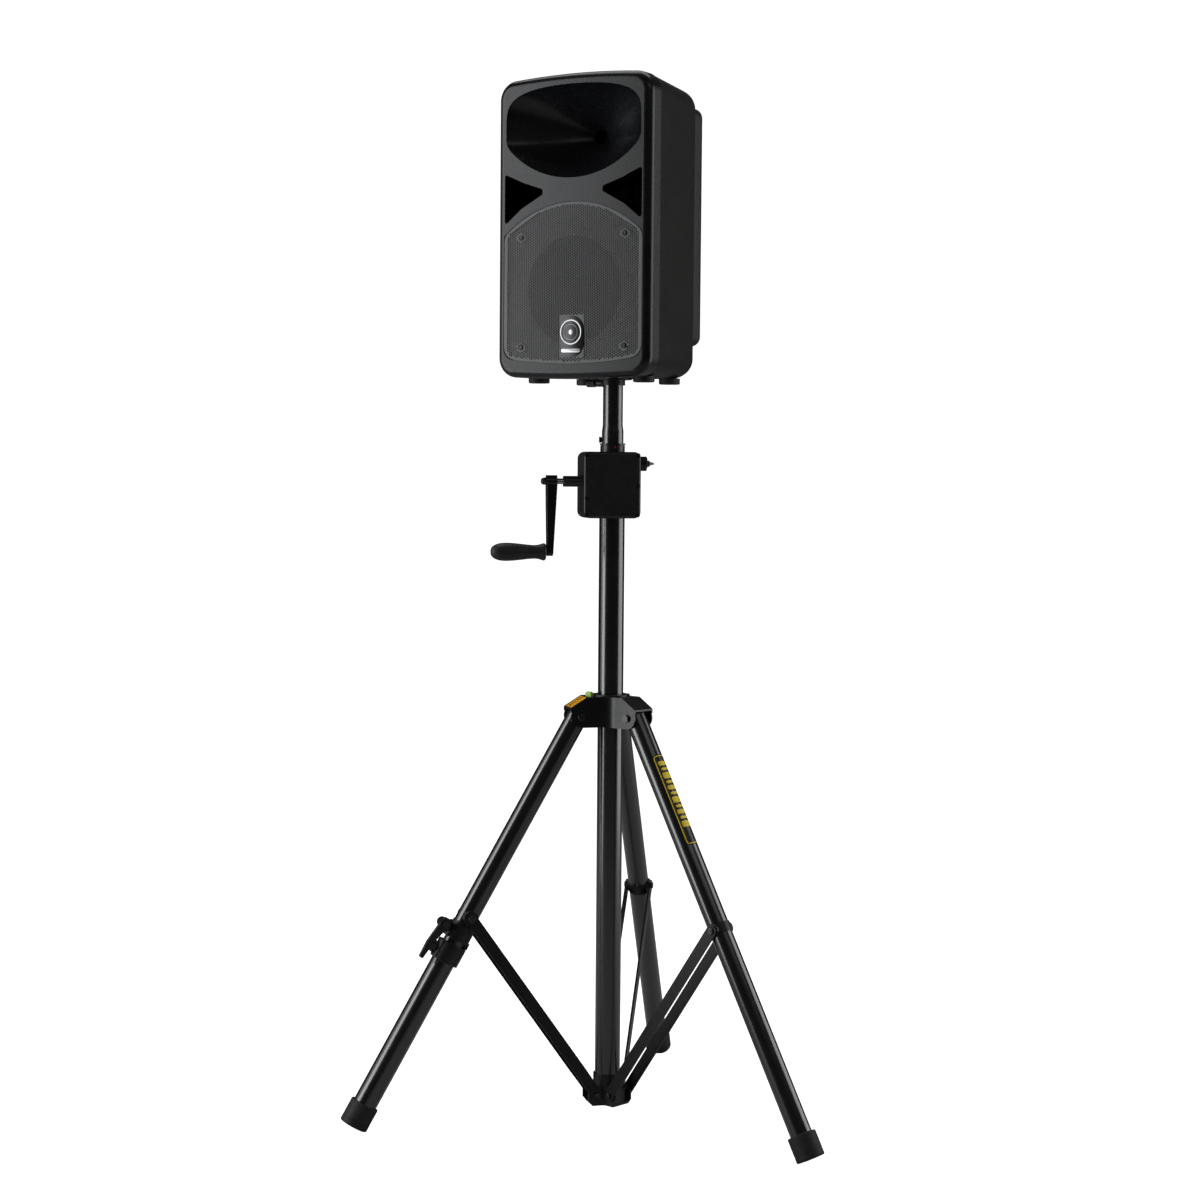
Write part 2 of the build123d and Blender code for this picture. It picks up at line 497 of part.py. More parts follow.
nt = fil(nt, nt.faces().sort_by(Axis((0, 0, 0), tuple(t(GB_AZ))))[0].edges(), 4.6)
nt += gbp(C0, PIN_U) * Pos(-126.0, 0, 0) * Rot(0, 90, 0) * extrude(RegularPolygon(7.2, 6), amount=4.0)
nt -= across(gbp(), 3.5, -124.5, -120, y=C0, z=PIN_U)
parts["crank_nut"] = nt
gy = C0 - ARM_L
gp = Plane(origin=t(GB_AZ) * -122.6 + u(GB_AZ) * PIN_U + Vector(0, 0, gy), x_dir=(0, 0, 1), z_dir=t(GB_AZ) * -1)
prof_pts = [(0, 13.5), (3, 15.2), (7, 14.2), (16, 12.2), (30, 12.6), (48, 14.6), (64, 15.8), (78, 15.4), (88, 12.6), (94.5, 7.4), (96.0, 0.0)]
sp = Spline(*[(r, h) for h, r in prof_pts])
ln = Polyline((0, 96.0), (0, 0), (13.5, 0))
fprof = make_face([*sp.edges(), *ln.edges()])
grip = revolve(Plane.XZ * fprof, Axis.Z, 360)
grip -= Pos(0, 0, 44) * Cylinder(4.08, 88.6)
parts["crank_grip"] = Plane(origin=gp.origin, x_dir=(0, 0, 1), z_dir=t(GB_AZ) * -1) * grip

# safety lock: spring plunger with star knob, right side of the gearbox
lk = across(gbp(), 3.0, 19.8, 70, y=1156.6) + across(gbp(), 2.2, 69, 74, y=1156.6)
parts["lock_plunger"] = lk
kb = across(gbp(), 13.0, 50.0, 61, y=1156.6)
for i in range(5):
    a = radians(72 * i)
    kb -= across(gbp(), 4.5, 46, 66, y=1156.6 + 15.6 * cos(a), z=15.6 * sin(a))
kb = fil(kb, kb.faces().sort_by(Axis((0, 0, 0), tuple(t(GB_AZ))))[-1].edges(), 1.6)
kb += across(gbp(), 5.5, 60, 66, y=1156.6)
kb -= across(gbp(), 3.0, 40, 80, y=1156.6)
parts["lock_knob"] = kb


# ================================================================= loudspeaker
def outline(hw, zb, zt, ct, cb_, r):
    """Front outline in the XZ plane with crowned top and bottom."""
    zc = (zb + zt) / 2
    w = Polyline((hw, zb), (hw, zt)) + ThreePointArc((hw, zt), (0, zt + ct), (-hw, zt)) + \
        Polyline((-hw, zt), (-hw, zb)) + ThreePointArc((-hw, zb), (0, zb - cb_), (hw, zb))
    f = make_face(w.edges())
    return fillet(f.vertices(), r)


def at_y(f, y):
    """XZ-plane face, local (x, z), standing at y."""
    return Plane(origin=(0, y, 0), x_dir=(1, 0, 0), z_dir=(0, -1, 0)) * f


def prism_y(f, y0, y1):
    return extrude(at_y(f, y1), amount=y1 - y0, dir=(0, -1, 0))


SP_HWS = 151.0


def cab(inset, y0, y1):
    """Tapering cabinet body, walls moved in by inset."""
    def sec(y):
        k = (y - SP_YS) / (SP_Y1 - SP_YS)
        hw = SP_HWS + (SP_HW1 - SP_HWS) * k - inset
        return at_y(outline(hw, SP_ZB + inset, SP_ZT - inset, SP_CROWN_T * (1 - 0.6 * k), 0.3, 34 - inset * 0.8), y)
    return loft([sec(y0), sec(y1)], ruled=True)


bz = prism_y(outline(SP_HWS + 1.5, SP_ZB, SP_ZT, SP_CROWN_T, SP_CROWN_B, 34), SP_Y0, SP_YS)
bz = fil(bz, bz.faces().sort_by(Axis.Y)[0].edges(), 13)
bz -= prism_y(outline(SP_HWS - 3.5, SP_ZB + 5, SP_ZT - 5, SP_CROWN_T, SP_CROWN_B, 29), SP_Y0 + 10, SP_YS + 1)


def mouth_pts(k, n=40):
    """Closed section between the mouth (k=0) and the throat circle (k=1)."""
    out = []
    for i in range(n):
        a = 2 * pi * i / n
        ca, sa = cos(a), sin(a)
        # mouth: straight sides, crowned top, deep arc at the bottom
        p = 5.0
        den = (abs(ca) ** p + abs(sa) ** p) ** (1 / p)
        x = 136.5 * ca / den
        if sa >= 0:
            z = 66 * sa / den + 14.0 * (1 - (x / 136.5) ** 2) * sa / den
        else:
            zz = -30.0 * abs(sa) / den
            z = zz - 50.0 * (1 - (x / 136.5) ** 2) * (abs(sa) / den)
        z += HORN_Z
        rt = 15.5
        tx, tz = rt * ca, HORN_Z + rt * sa
        out.append((x * (1 - k) + tx * k, z * (1 - k) + tz * k))
    return out


def horn_loft(off, ys_):
    secs = []
    for k, y in ys_:
        pts = mouth_pts(k)
        if off:
            cx, cz = 0, HORN_Z
            q = []
            for x, z in pts:
                d = sqrt(x * x + (z - cz) ** 2)
                q.append((x * (d + off) / d, cz + (z - cz) * (d + off) / d))
            pts = q
        P = Plane(origin=(0, y, 0), x_dir=(1, 0, 0), z_dir=(0, -1, 0))
        w = P * Spline(*pts, periodic=True)
        secs.append(make_face(w.edges()))
    return loft(secs, ruled=False)


KS = [(0.0, SP_Y0 - 2), (0.06, SP_Y0 + 6), (0.30, SP_Y0 + 30), (0.66, SP_Y0 + 60), (0.90, SP_Y0 + 82), (1.0, THROAT_Y)]
cav = horn_loft(0, KS)
hw_ = horn_loft(3.0, [(0.04, SP_Y0 + 4), (0.30, SP_Y0 + 30), (0.66, SP_Y0 + 60), (0.90, SP_Y0 + 82), (1.0, THROAT_Y)])
room = prism_y(outline(SP_HWS - 3.4, SP_ZB + 5, SP_ZT - 4.9, SP_CROWN_T, SP_CROWN_B, 29), SP_Y0 + 4, SP_YS) + \
    cab(5.5, SP_YS, SP_Y1 - 6)
hw_ = hw_ & room
bz = bz + hw_


# ports: rounded triangles
def port_face(s, off=0.0):
    pts = [(s * 137, 1653), (s * 137, 1565), (s * 103, 1592), (s * 60, 1615), (s * 60, 1624), (s * 100, 1637)]
    f = make_face(Polyline(*pts, close=True))
    f = fillet(f.vertices(), 3.6)
    if off:
        f = offset(f, off)
    return f


for s in (-1, 1):
    duct = prism_y(port_face(s, 2.6), SP_Y0 + 4, -82) & room
    bz = bz + duct
for s in (-1, 1):
    bz -= prism_y(port_face(s), SP_Y0 - 2, -60)
bz -= cav
bz -= rod(Plane(origin=(0, 0, HORN_Z), x_dir=(1, 0, 0), z_dir=(0, -1, 0)), 15.4, 40, 50)


def grille_face(inset=0.0):
    hw, zb, zt, ar_, br = 138.5 - inset, 1337.0 + inset, 1546.0 - inset, 55.0, 11.5
    w = Polyline((hw, zb), (hw, zt)) + ThreePointArc((hw, zt), (0, zt + ar_), (-hw, zt)) + \
        Polyline((-hw, zt), (-hw, zb)) + ThreePointArc((-hw, zb), (0, zb - br), (hw, zb))
    f = make_face(w.edges())
    vs = f.vertices().sort_by(Axis.Y)
    f = fillet(vs[:2], 20)
    return fillet(f.vertices().sort_by(Axis.Y)[-2:], 9)


bz -= prism_y(grille_face(), SP_Y0 - 1, SP_Y0 + 6)
bz -= rod(Plane(origin=(0, 0, WOOF_Z), x_dir=(1, 0, 0), z_dir=(0, -1, 0)), 93.0, 100, 160)
bz -= rod(Plane(origin=(0, 0, WOOF_Z), x_dir=(1, 0, 0), z_dir=(0, -1, 0)), 104.4, 100, 130.6)
GS = ((-103.5, 1543.0), (103.5, 1543.0), (-103.5, 1355.5), (103.5, 1355.5))
for x, z in GS:
    bz -= rod(Plane(origin=(x, 0, z), x_dir=(1, 0, 0), z_dir=(0, -1, 0)), 2.0, 120, 150)
parts["front_baffle"] = bz

# grille: bowed sheet standing just proud of its recess
gr = prism_y(grille_face(0.8), SP_Y0 + 0.6, SP_Y0 + 2.0)
gr += prism_y(grille_face(0.8), SP_Y0 + 0.6, SP_Y0 + 6.0) - prism_y(grille_face(2.0), SP_Y0 - 1, SP_Y0 + 7)
for x, z in GS:
    gr += rod(Plane(origin=(x, 0, z), x_dir=(1, 0, 0), z_dir=(0, -1, 0)), 6.0, 134, 139.4)
    gr -= rod(Plane(origin=(x, 0, z), x_dir=(1, 0, 0), z_dir=(0, -1, 0)), 2.2, 120, 150)
parts["grille"] = gr
gs = []
for x, z in GS:
    pn = Plane(origin=(x, 0, z), x_dir=(1, 0, 0), z_dir=(0, -1, 0))
    q = rod(pn, 2.0, 126, 140) + rod(pn, 5.2, 139.4, 141.6)
    q = fil(q, q.faces().sort_by(Axis.Y)[0].edges(), 1.2)
    q -= brick(pn, -2.6, 2.6, -0.6, 0.6, 140.4, 150)
    q -= brick(pn, -0.6, 0.6, -2.6, 2.6, 140.4, 150)
    gs.append(q)
parts["grille_screws"] = solids(*gs)


def side_prof(i):
    """Side view (y, z): rounded at the rear, top and bottom."""
    r = 42 - i
    f = Plane.YZ * Pos((SP_Y1 - i - 300) / 2.0, (SP_ZB + SP_ZT + 4) / 2) * RectangleRounded(SP_Y1 - i + 300, SP_ZT - SP_ZB + 12 - 2 * i, r)
    return extrude(f, amount=400, both=True)


body = cab(0, SP_YS + 0.0, SP_Y1) & side_prof(0) & brick(W, -400, 400, -400, 400, SP_ZB, 2000)
body = fil(body, [e for e in body.edges().filter_by(GeomType.LINE) if abs(e.center().Y - SP_Y1) < 1 and abs(e.center().X) > 100], 14)
hollow = cab(5, SP_YS - 1, SP_Y1 - 5) & side_prof(5)
body -= hollow
body -= prism_y(Pos(0, (MOD_Z0 + MOD_Z1) / 2) * RectangleRounded(2 * MOD_HW - 24, MOD_Z1 - MOD_Z0 - 24, 12), SP_Y1 - 20, SP_Y1 + 10)
body -= cyl(21.2, SP_ZB - 10, SP_ZB + 20)
FEET = ((-106, -75), (106, -75), (-85, 50), (85, 50))
for x, y in FEET:
    body -= cyl(2.2, SP_ZB - 5, SP_ZB + 8, x, y)
parts["cabinet_shell"] = body

md = prism_y(Pos(0, (MOD_Z0 + MOD_Z1) / 2) * RectangleRounded(2 * MOD_HW, MOD_Z1 - MOD_Z0, 16), SP_Y1, SP_Y2)
md = fil(md, md.faces().sort_by(Axis.Y)[-1].edges(), 20)
mi = prism_y(Pos(0, (MOD_Z0 + MOD_Z1) / 2) * RectangleRounded(2 * MOD_HW - 9, MOD_Z1 - MOD_Z0 - 9, 12), SP_Y1 - 1, SP_Y2 - 4.5)
mi = fil(mi, mi.faces().sort_by(Axis.Y)[-1].edges(), 17)
md -= mi
JZ = 1450.0
rec = prism_y(Pos(0, JZ) * RectangleRounded(96, 62, 8), SP_Y2 - 12, SP_Y2 + 2)
md += prism_y(Pos(0, JZ) * RectangleRounded(104, 70, 12), SP_Y2 - 16, SP_Y2 - 4)
md -= rec
# finger recess of the carrying handle, upper half
HZ = 1700.0
md += prism_y(Pos(0, HZ) * RectangleRounded(129, 61, 27), SP_Y2 - 38, SP_Y2 - 4)
md -= prism_y(Pos(0, HZ) * RectangleRounded(120, 52, 22), SP_Y2 - 34, SP_Y2 + 2)
md += prism_y(Pos(0, HZ) * RectangleRounded(124, 15, 5), SP_Y2 - 13, SP_Y2 - 1.5)
JX = (-22.0, 22.0)
for x in JX:
    md -= rod(Plane(origin=(x, 0, JZ), x_dir=(1, 0, 0), z_dir=(0, 1, 0)), 5.6, SP_Y2 - 40, SP_Y2)
parts["rear_panel"] = md

jk = []
for x in JX:
    pn = Plane(origin=(x, 0, JZ), x_dir=(1, 0, 0), z_dir=(0, 1, 0))
    q = rod(pn, 5.6, SP_Y2 - 20, SP_Y2 - 9.5) + rod(pn, 9.0, SP_Y2 - 12, SP_Y2 - 9.0)
    q += pn * Pos(0, 0, SP_Y2 - 48) * Box(18, 22, 1) + brick(pn, -8, 8, -10, 10, SP_Y2 - 47.5, SP_Y2 - 20)
    q -= rod(pn, 3.2, SP_Y2 - 42, SP_Y2 + 5)
    jk.append(q)
parts["input_jacks"] = solids(*jk)

# woofer
wp = Plane(origin=(0, 0, WOOF_Z), x_dir=(1, 0, 0), z_dir=(0, 1, 0))


def rev_y(pts, zc):
    """Revolve (r, y) about the line x=0, z=zc along Y."""
    f = make_face(Plane.XY * Polyline(*[(r, y) for r, y in pts], close=True))
    s = revolve(f, Axis.Y, 360)
    return Pos(0, 0, zc) * s


bk = rev_y([(92.5, -130.4), (104.0, -130.4), (104.0, -126.0), (95.5, -126.0), (58.0, -62.0), (30.0, -52.0), (30.0, -49.0), (54.0, -49.0), (60.0, -58.0), (95.0, -118.0), (98.0, -126.0), (92.5, -126.0)][:4] + [(62.0, -60.0), (56.0, -49.0), (20.0, -49.0), (20.0, -52.0), (54.0, -52.0), (60.0, -61.5), (92.5, -126.5)], WOOF_Z)
for i in range(6):
    bk -= Pos(0, 0, WOOF_Z) * Rot(0, 60 * i, 0) * Pos(78, -95, 0) * Rot(0, 0, -31) * Box(30, 48, 44)
parts["woofer_frame"] = bk
mg = rod(wp, 52, -48.8, -24) + rod(wp, 40, -24.5, -19)
mg = fil(mg, mg.edges().filter_by(GeomType.CIRCLE), 1.5)
mg += rod(wp, 18.5, -60, -48)
mg -= rod(wp, 4, -70, 0)
parts["woofer_magnet"] = mg
cn = rev_y([(90.5, -129.0), (87.5, -132.2), (83.5, -132.8), (79.5, -131.0), (77.5, -127.6), (31.0, -95.4), (27.0, -101.0), (19.0, -104.8), (9.0, -106.6), (0.0, -107.0), (0.0, -105.0), (9.0, -104.6), (18.0, -103.0), (25.0, -99.0), (28.0, -93.0), (20.8, -92.0), (20.8, -64.0), (22.4, -64.0), (22.4, -90.4), (31.6, -91.6), (76.5, -124.6), (79.0, -129.0), (83.5, -131.2), (87.0, -130.6), (89.0, -127.6), (90.5, -127.6)], WOOF_Z)
parts["woofer_cone"] = cn

hd = Plane(origin=(0, 0, HORN_Z), x_dir=(1, 0, 0), z_dir=(0, 1, 0))
dr = rod(hd, 42, THROAT_Y + 0.2, THROAT_Y + 10) + rod(hd, 36, THROAT_Y + 9, THROAT_Y + 44)
dr = fil(dr, dr.edges().filter_by(GeomType.CIRCLE), 2)
dr -= rod(hd, 12.7, THROAT_Y - 2, THROAT_Y + 14)
parts["horn_driver"] = dr

xb = brick(W, -45, 45, 70, 71.6, 1580, 1650)
xc = [xb, Plane(origin=(-22, 0, 1632), x_dir=(1, 0, 0), z_dir=(0, -1, 0)) * Pos(0, 0, -62) * Cylinder(13, 16) - Plane(origin=(-22, 0, 1632), x_dir=(1, 0, 0), z_dir=(0, -1, 0)) * Pos(0, 0, -62) * Cylinder(5, 20),
      Plane(origin=(20, 0, 1634), x_dir=(1, 0, 0), z_dir=(0, 0, 1)) * Pos(0, 63.5, 0) * Cylinder(6.5, 26),
      brick(W, -34, 0, 58, 70, 1588, 1600), brick(W, 10, 38, 62, 70, 1590, 1598),
      brick(W, -40, -34, 71.6, 87.2, 1584, 1590) + brick(W, 34, 40, 71.6, 87.2, 1584, 1590)]
xo = xc[0]
for q in xc[1:]:
    xo = xo + q
xo += brick(W, -40, -34, 71.6, 87.0, 1640, 1646) + brick(W, 34, 40, 71.6, 87.0, 1640, 1646)
parts["crossover_board"] = solids(xo)

sk = cyl(21.2, SP_ZB - 3, 1392) + cyl(33, SP_ZB - 3, SP_ZB)
sk -= cyl(17.6, SP_ZB - 10, TOP_Z + 0.4)
for i in range(4):
    a = radians(45 + 90 * i)
    sk -= cyl(2.2, SP_ZB - 5, SP_ZB + 1, 27.5 * cos(a), 27.5 * sin(a))
tp = Plane(origin=(0, 0, SP_ZB - 8.0), x_dir=(-1, 0, 0), z_dir=(0, 0, 1))
sk += across(tp, 7.0, 19.0, 31.0)
sk += cyl(21.2, SP_ZB - 12.5, SP_ZB - 2)
sk -= cyl(17.6, SP_ZB - 20, SP_ZB)
sk -= across(tp, 3.08, 10, 40)
parts["pole_socket"] = sk
tk = across(tp, 3.0, 18.2, 38) + across(tp, 7.6, 36, 52)
for i in range(8):
    a = radians(45 * i)
    tk -= across(tp, 1.4, 34, 54, y=8.0 * cos(a), z=8.0 * sin(a))
parts["socket_screw"] = tk

ft = []
for x, y in FEET:
    q = Pos(x, y, 0) * (cyl(18.5, SP_ZB - 10.5, SP_ZB))
    q = fil(q, q.faces().sort_by(Axis.Z)[0].edges(), 2.5)
    q += cyl(2.2, SP_ZB - 1, SP_ZB + 7.9, x, y)
    q -= cyl(8, SP_ZB - 12, SP_ZB - 7.5, x, y)
    ft.append(q)
parts["cabinet_feet"] = solids(*ft)

# ================================================================= export
T = Location((AX, AY, 0))
if __name__ == "__main__":
    lo, hi = [1e9] * 3, [-1e9] * 3
    for name, s in parts.items():
        if not isinstance(s, Compound) or len(s.solids()) > 1:
            s = Compound(children=list(s.solids()))
        else:
            s = Compound(children=list(s.solids()))
        q = s.moved(T)
        q.label = name
        export_step(q, "parts/%s.step" % name)
        b = q.bounding_box()
        for i, (a, c) in enumerate(zip(tuple(b.min), tuple(b.max))):
            lo[i], hi[i] = min(lo[i], a), max(hi[i], c)
    print(len(parts), "nodes; box", [round(v, 2) for v in lo], [round(v, 2) for v in hi])
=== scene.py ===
import bpy, bmesh, json, math, random
from math import sin, cos, radians, pi, sqrt, atan2, degrees
from mathutils import Vector, Matrix


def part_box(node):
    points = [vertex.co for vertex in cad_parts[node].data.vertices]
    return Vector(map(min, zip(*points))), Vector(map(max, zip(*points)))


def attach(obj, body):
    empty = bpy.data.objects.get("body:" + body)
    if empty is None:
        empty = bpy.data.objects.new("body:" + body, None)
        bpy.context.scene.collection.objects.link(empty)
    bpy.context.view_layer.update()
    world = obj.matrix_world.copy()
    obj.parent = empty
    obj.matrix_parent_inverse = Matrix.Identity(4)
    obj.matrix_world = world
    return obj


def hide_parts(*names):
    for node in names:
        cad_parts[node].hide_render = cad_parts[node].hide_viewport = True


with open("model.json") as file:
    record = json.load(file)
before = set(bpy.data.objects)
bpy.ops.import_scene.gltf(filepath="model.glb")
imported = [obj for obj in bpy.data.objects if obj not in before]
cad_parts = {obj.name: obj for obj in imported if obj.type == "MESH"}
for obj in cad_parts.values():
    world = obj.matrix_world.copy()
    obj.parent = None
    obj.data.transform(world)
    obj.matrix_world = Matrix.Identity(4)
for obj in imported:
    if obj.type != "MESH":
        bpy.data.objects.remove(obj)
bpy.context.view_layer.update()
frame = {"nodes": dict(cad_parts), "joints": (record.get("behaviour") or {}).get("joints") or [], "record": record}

random.seed(7)
NODES = frame["nodes"]
J = {j["name"]: j for j in frame["joints"]}

# ------------------------------------------------------------------ places taken from the frame
# the mast axis is the middle of the mast tube's box
_a, _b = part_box("mast_tube")
MX, MY = (_a.x + _b.x) / 2, (_a.y + _b.y) / 2
MM = 0.001


def U(az):
    a = radians(az)
    return Vector((sin(a), -cos(a), 0))


def T(az):
    a = radians(az)
    return Vector((cos(a), sin(a), 0))


AZ = {"right": 78.4, "left": -41.6, "back": 198.4}
GB_AZ = 41.4
ORG = Vector((MX, MY, 0))


def leg_axes(side):
    """Pivot, across, outward normal and down-the-leg directions of a leg."""
    j = J["leg_%s_fold" % side]
    p, t = Vector(j["pos_m"]), Vector(j["axis"]).normalized()
    u = U(AZ[side])
    th = radians(29.64)
    d = u * sin(th) + Vector((0, 0, -cos(th)))
    n = u * cos(th) + Vector((0, 0, sin(th)))
    return p, t, n, d


# ------------------------------------------------------------------ materials
def _n(nt, kind, x, y, **k):
    n = nt.nodes.new(kind)
    n.location = (x, y)
    for a, b in k.items():
        setattr(n, a, b)
    return n


def surf(name, base, rough=0.4, dr=0.06, metallic=0.0, spec=0.5, grain=900.0, gdepth=0.00003, gstrength=0.5,
         kind="noise", wear=0.0, wear_col=(0.25, 0.25, 0.26), coat=0.0, tone=0.18, big=14.0, streak=None,
         dust=0.0, sheen=0.0, scratch=0.0):
    m = bpy.data.materials.new(name)
    m.use_nodes = True
    nt = m.node_tree
    nt.nodes.clear()
    out = _n(nt, "ShaderNodeOutputMaterial", 900, 0)
    b = _n(nt, "ShaderNodeBsdfPrincipled", 600, 0)
    nt.links.new(b.outputs[0], out.inputs[0])
    b.inputs["Metallic"].default_value = metallic
    b.inputs["Specular IOR Level"].default_value = spec
    b.inputs["Coat Weight"].default_value = coat
    b.inputs["Coat Roughness"].default_value = 0.18
    b.inputs["Sheen Weight"].default_value = sheen
    tc = _n(nt, "ShaderNodeTexCoord", -1300, 0)
    src = tc.outputs["Object"]
    if streak:
        mp = _n(nt, "ShaderNodeMapping", -1100, -200)
        mp.inputs["Scale"].default_value = streak
        nt.links.new(tc.outputs["Object"], mp.inputs[0])
        src = mp.outputs[0]
    n1 = _n(nt, "ShaderNodeTexNoise", -900, 250)          # large uneven tone
    n1.inputs["Scale"].default_value = big
    n1.inputs["Detail"].default_value = 6
    n1.inputs["Roughness"].default_value = 0.62
    nt.links.new(tc.outputs["Object"], n1.inputs["Vector"])
    n3 = _n(nt, "ShaderNodeTexNoise", -900, 0)            # mid-size smudges
    n3.inputs["Scale"].default_value = big * 7.3
    n3.inputs["Detail"].default_value = 4
    nt.links.new(tc.outputs["Object"], n3.inputs["Vector"])
    # fine grain for the bump
    if kind == "leather":
        g = _n(nt, "ShaderNodeTexVoronoi", -900, -300)
        g.feature = "DISTANCE_TO_EDGE"
        g.inputs["Scale"].default_value = grain
        nt.links.new(src, g.inputs["Vector"])
        gr = _n(nt, "ShaderNodeMapRange", -700, -300)
        gr.inputs["From Max"].default_value = 0.22
        nt.links.new(g.outputs["Distance"], gr.inputs["Value"])
        gh = gr.outputs[0]
        g2 = _n(nt, "ShaderNodeTexNoise", -900, -520)
        g2.inputs["Scale"].default_value = grain * 2.7
        g2.inputs["Detail"].default_value = 3
        nt.links.new(src, g2.inputs["Vector"])
        ad = _n(nt, "ShaderNodeMath", -520, -380, operation="MULTIPLY_ADD")
        nt.links.new(g2.outputs["Fac"], ad.inputs[0])
        ad.inputs[1].default_value = 0.35
        nt.links.new(gh, ad.inputs[2])
        gh = ad.outputs[0]
    else:
        g = _n(nt, "ShaderNodeTexNoise", -900, -300)
        g.inputs["Scale"].default_value = grain
        g.inputs["Detail"].default_value = 3
        g.inputs["Roughness"].default_value = 0.55
        nt.links.new(src, g.inputs["Vector"])
        gh = g.outputs["Fac"]
    bp = _n(nt, "ShaderNodeBump", 300, -320)
    bp.inputs["Strength"].default_value = gstrength
    bp.inputs["Distance"].default_value = gdepth
    nt.links.new(gh, bp.inputs["Height"])
    nt.links.new(bp.outputs[0], b.inputs["Normal"])
    # colour: two close tones, mixed by both noises
    mul = _n(nt, "ShaderNodeMath", -680, 150, operation="MULTIPLY_ADD")
    nt.links.new(n3.outputs["Fac"], mul.inputs[0])
    mul.inputs[1].default_value = 0.5
    half = _n(nt, "ShaderNodeMath", -680, 320, operation="MULTIPLY")
    nt.links.new(n1.outputs["Fac"], half.inputs[0])
    half.inputs[1].default_value = 0.5
    nt.links.new(half.outputs[0], mul.inputs[2])
    cr = _n(nt, "ShaderNodeValToRGB", -450, 250)
    e = cr.color_ramp.elements
    e[0].position, e[1].position = 0.36, 0.64
    e[0].color = tuple(c * (1 - tone) for c in base) + (1,)
    e[1].color = tuple(min(1, c * (1 + tone)) for c in base) + (1,)
    nt.links.new(mul.outputs[0], cr.inputs[0])
    col = cr.outputs[0]
    rr = _n(nt, "ShaderNodeMapRange", -450, 0)
    rr.inputs["From Min"].default_value = 0.36
    rr.inputs["From Max"].default_value = 0.66
    rr.inputs["To Min"].default_value = max(0.03, rough - dr)
    rr.inputs["To Max"].default_value = min(1.0, rough + dr)
    nt.links.new(mul.outputs[0], rr.inputs["Value"])
    ro = rr.outputs[0]
    if dust > 0:
        # a little dust on what faces up
        ge = _n(nt, "ShaderNodeNewGeometry", -1100, 700)
        sp = _n(nt, "ShaderNodeSeparateXYZ", -900, 700)
        nt.links.new(ge.outputs["Normal"], sp.inputs[0])
        dm = _n(nt, "ShaderNodeMapRange", -700, 700)
        dm.inputs["From Min"].default_value = 0.55
        dm.inputs["From Max"].default_value = 1.0
        dm.inputs["To Max"].default_value = dust
        nt.links.new(sp.outputs["Z"], dm.inputs["Value"])
        dd = _n(nt, "ShaderNodeMath", -500, 700, operation="MULTIPLY")
        nt.links.new(dm.outputs[0], dd.inputs[0])
        nt.links.new(n3.outputs["Fac"], dd.inputs[1])
        mx = _n(nt, "ShaderNodeMixRGB", -200, 500)
        nt.links.new(dd.outputs[0], mx.inputs[0])
        nt.links.new(col, mx.inputs[1])
        mx.inputs[2].default_value = (0.30, 0.29, 0.27, 1)
        col = mx.outputs[0]
    if wear > 0:
        # worn edges: where a rounded normal leaves the true one
        bv = _n(nt, "ShaderNodeBevel", -1100, 1000)
        bv.samples = 4
        bv.inputs["Radius"].default_value = 0.0009
        ge2 = _n(nt, "ShaderNodeNewGeometry", -1100, 1200)
        dt = _n(nt, "ShaderNodeVectorMath", -900, 1100, operation="DOT_PRODUCT")
        nt.links.new(bv.outputs[0], dt.inputs[0])
        nt.links.new(ge2.outputs["Normal"], dt.inputs[1])
        wm = _n(nt, "ShaderNodeMapRange", -700, 1100)
        wm.inputs["From Min"].default_value = 0.985
        wm.inputs["From Max"].default_value = 0.86
        wm.inputs["To Max"].default_value = wear
        nt.links.new(dt.outputs["Value"], wm.inputs["Value"])
        nw = _n(nt, "ShaderNodeTexNoise", -900, 900)
        nw.inputs["Scale"].default_value = 160
        nw.inputs["Detail"].default_value = 5
        nt.links.new(tc.outputs["Object"], nw.inputs["Vector"])
        nm = _n(nt, "ShaderNodeMapRange", -700, 900)
        nm.inputs["From Min"].default_value = 0.42
        nm.inputs["From Max"].default_value = 0.62
        nt.links.new(nw.outputs["Fac"], nm.inputs["Value"])
        wx = _n(nt, "ShaderNodeMath", -500, 1000, operation="MULTIPLY")
        nt.links.new(wm.outputs[0], wx.inputs[0])
        nt.links.new(nm.outputs[0], wx.inputs[1])
        mw = _n(nt, "ShaderNodeMixRGB", 50, 500)
        nt.links.new(wx.outputs[0], mw.inputs[0])
        nt.links.new(col, mw.inputs[1])
        mw.inputs[2].default_value = tuple(wear_col) + (1,)
        col = mw.outputs[0]
    nt.links.new(col, b.inputs["Base Color"])
    nt.links.new(ro, b.inputs["Roughness"])
    return m


M = {}
M["tube"] = surf("satin_tube_coat", (0.0036, 0.0036, 0.0039), 0.22, 0.03, spec=0.85, grain=900, gdepth=0.00001, gstrength=0.12, wear=0.12, coat=0.6, tone=0.15, big=5)
M["bracket"] = surf("bracket_paint", (0.0035, 0.0035, 0.0037), 0.30, 0.05, spec=0.38, grain=520, gdepth=0.00003, gstrength=0.4, wear=0.5, coat=0.15, dust=0.03)
M["bar"] = surf("bar_paint", (0.0032, 0.0032, 0.0034), 0.36, 0.06, spec=0.35, grain=480, gdepth=0.00003, gstrength=0.4, wear=0.5, dust=0.03)
M["plated"] = surf("dark_plated_steel", (0.055, 0.055, 0.06), 0.28, 0.08, metallic=0.9, grain=420, gdepth=0.00002, gstrength=0.3, wear=0.6, wear_col=(0.35, 0.35, 0.36))
M["bright"] = surf("ground_steel", (0.52, 0.52, 0.53), 0.25, 0.08, metallic=1.0, grain=700, gdepth=0.00001, gstrength=0.3, tone=0.1, streak=(1, 1, 0.05))
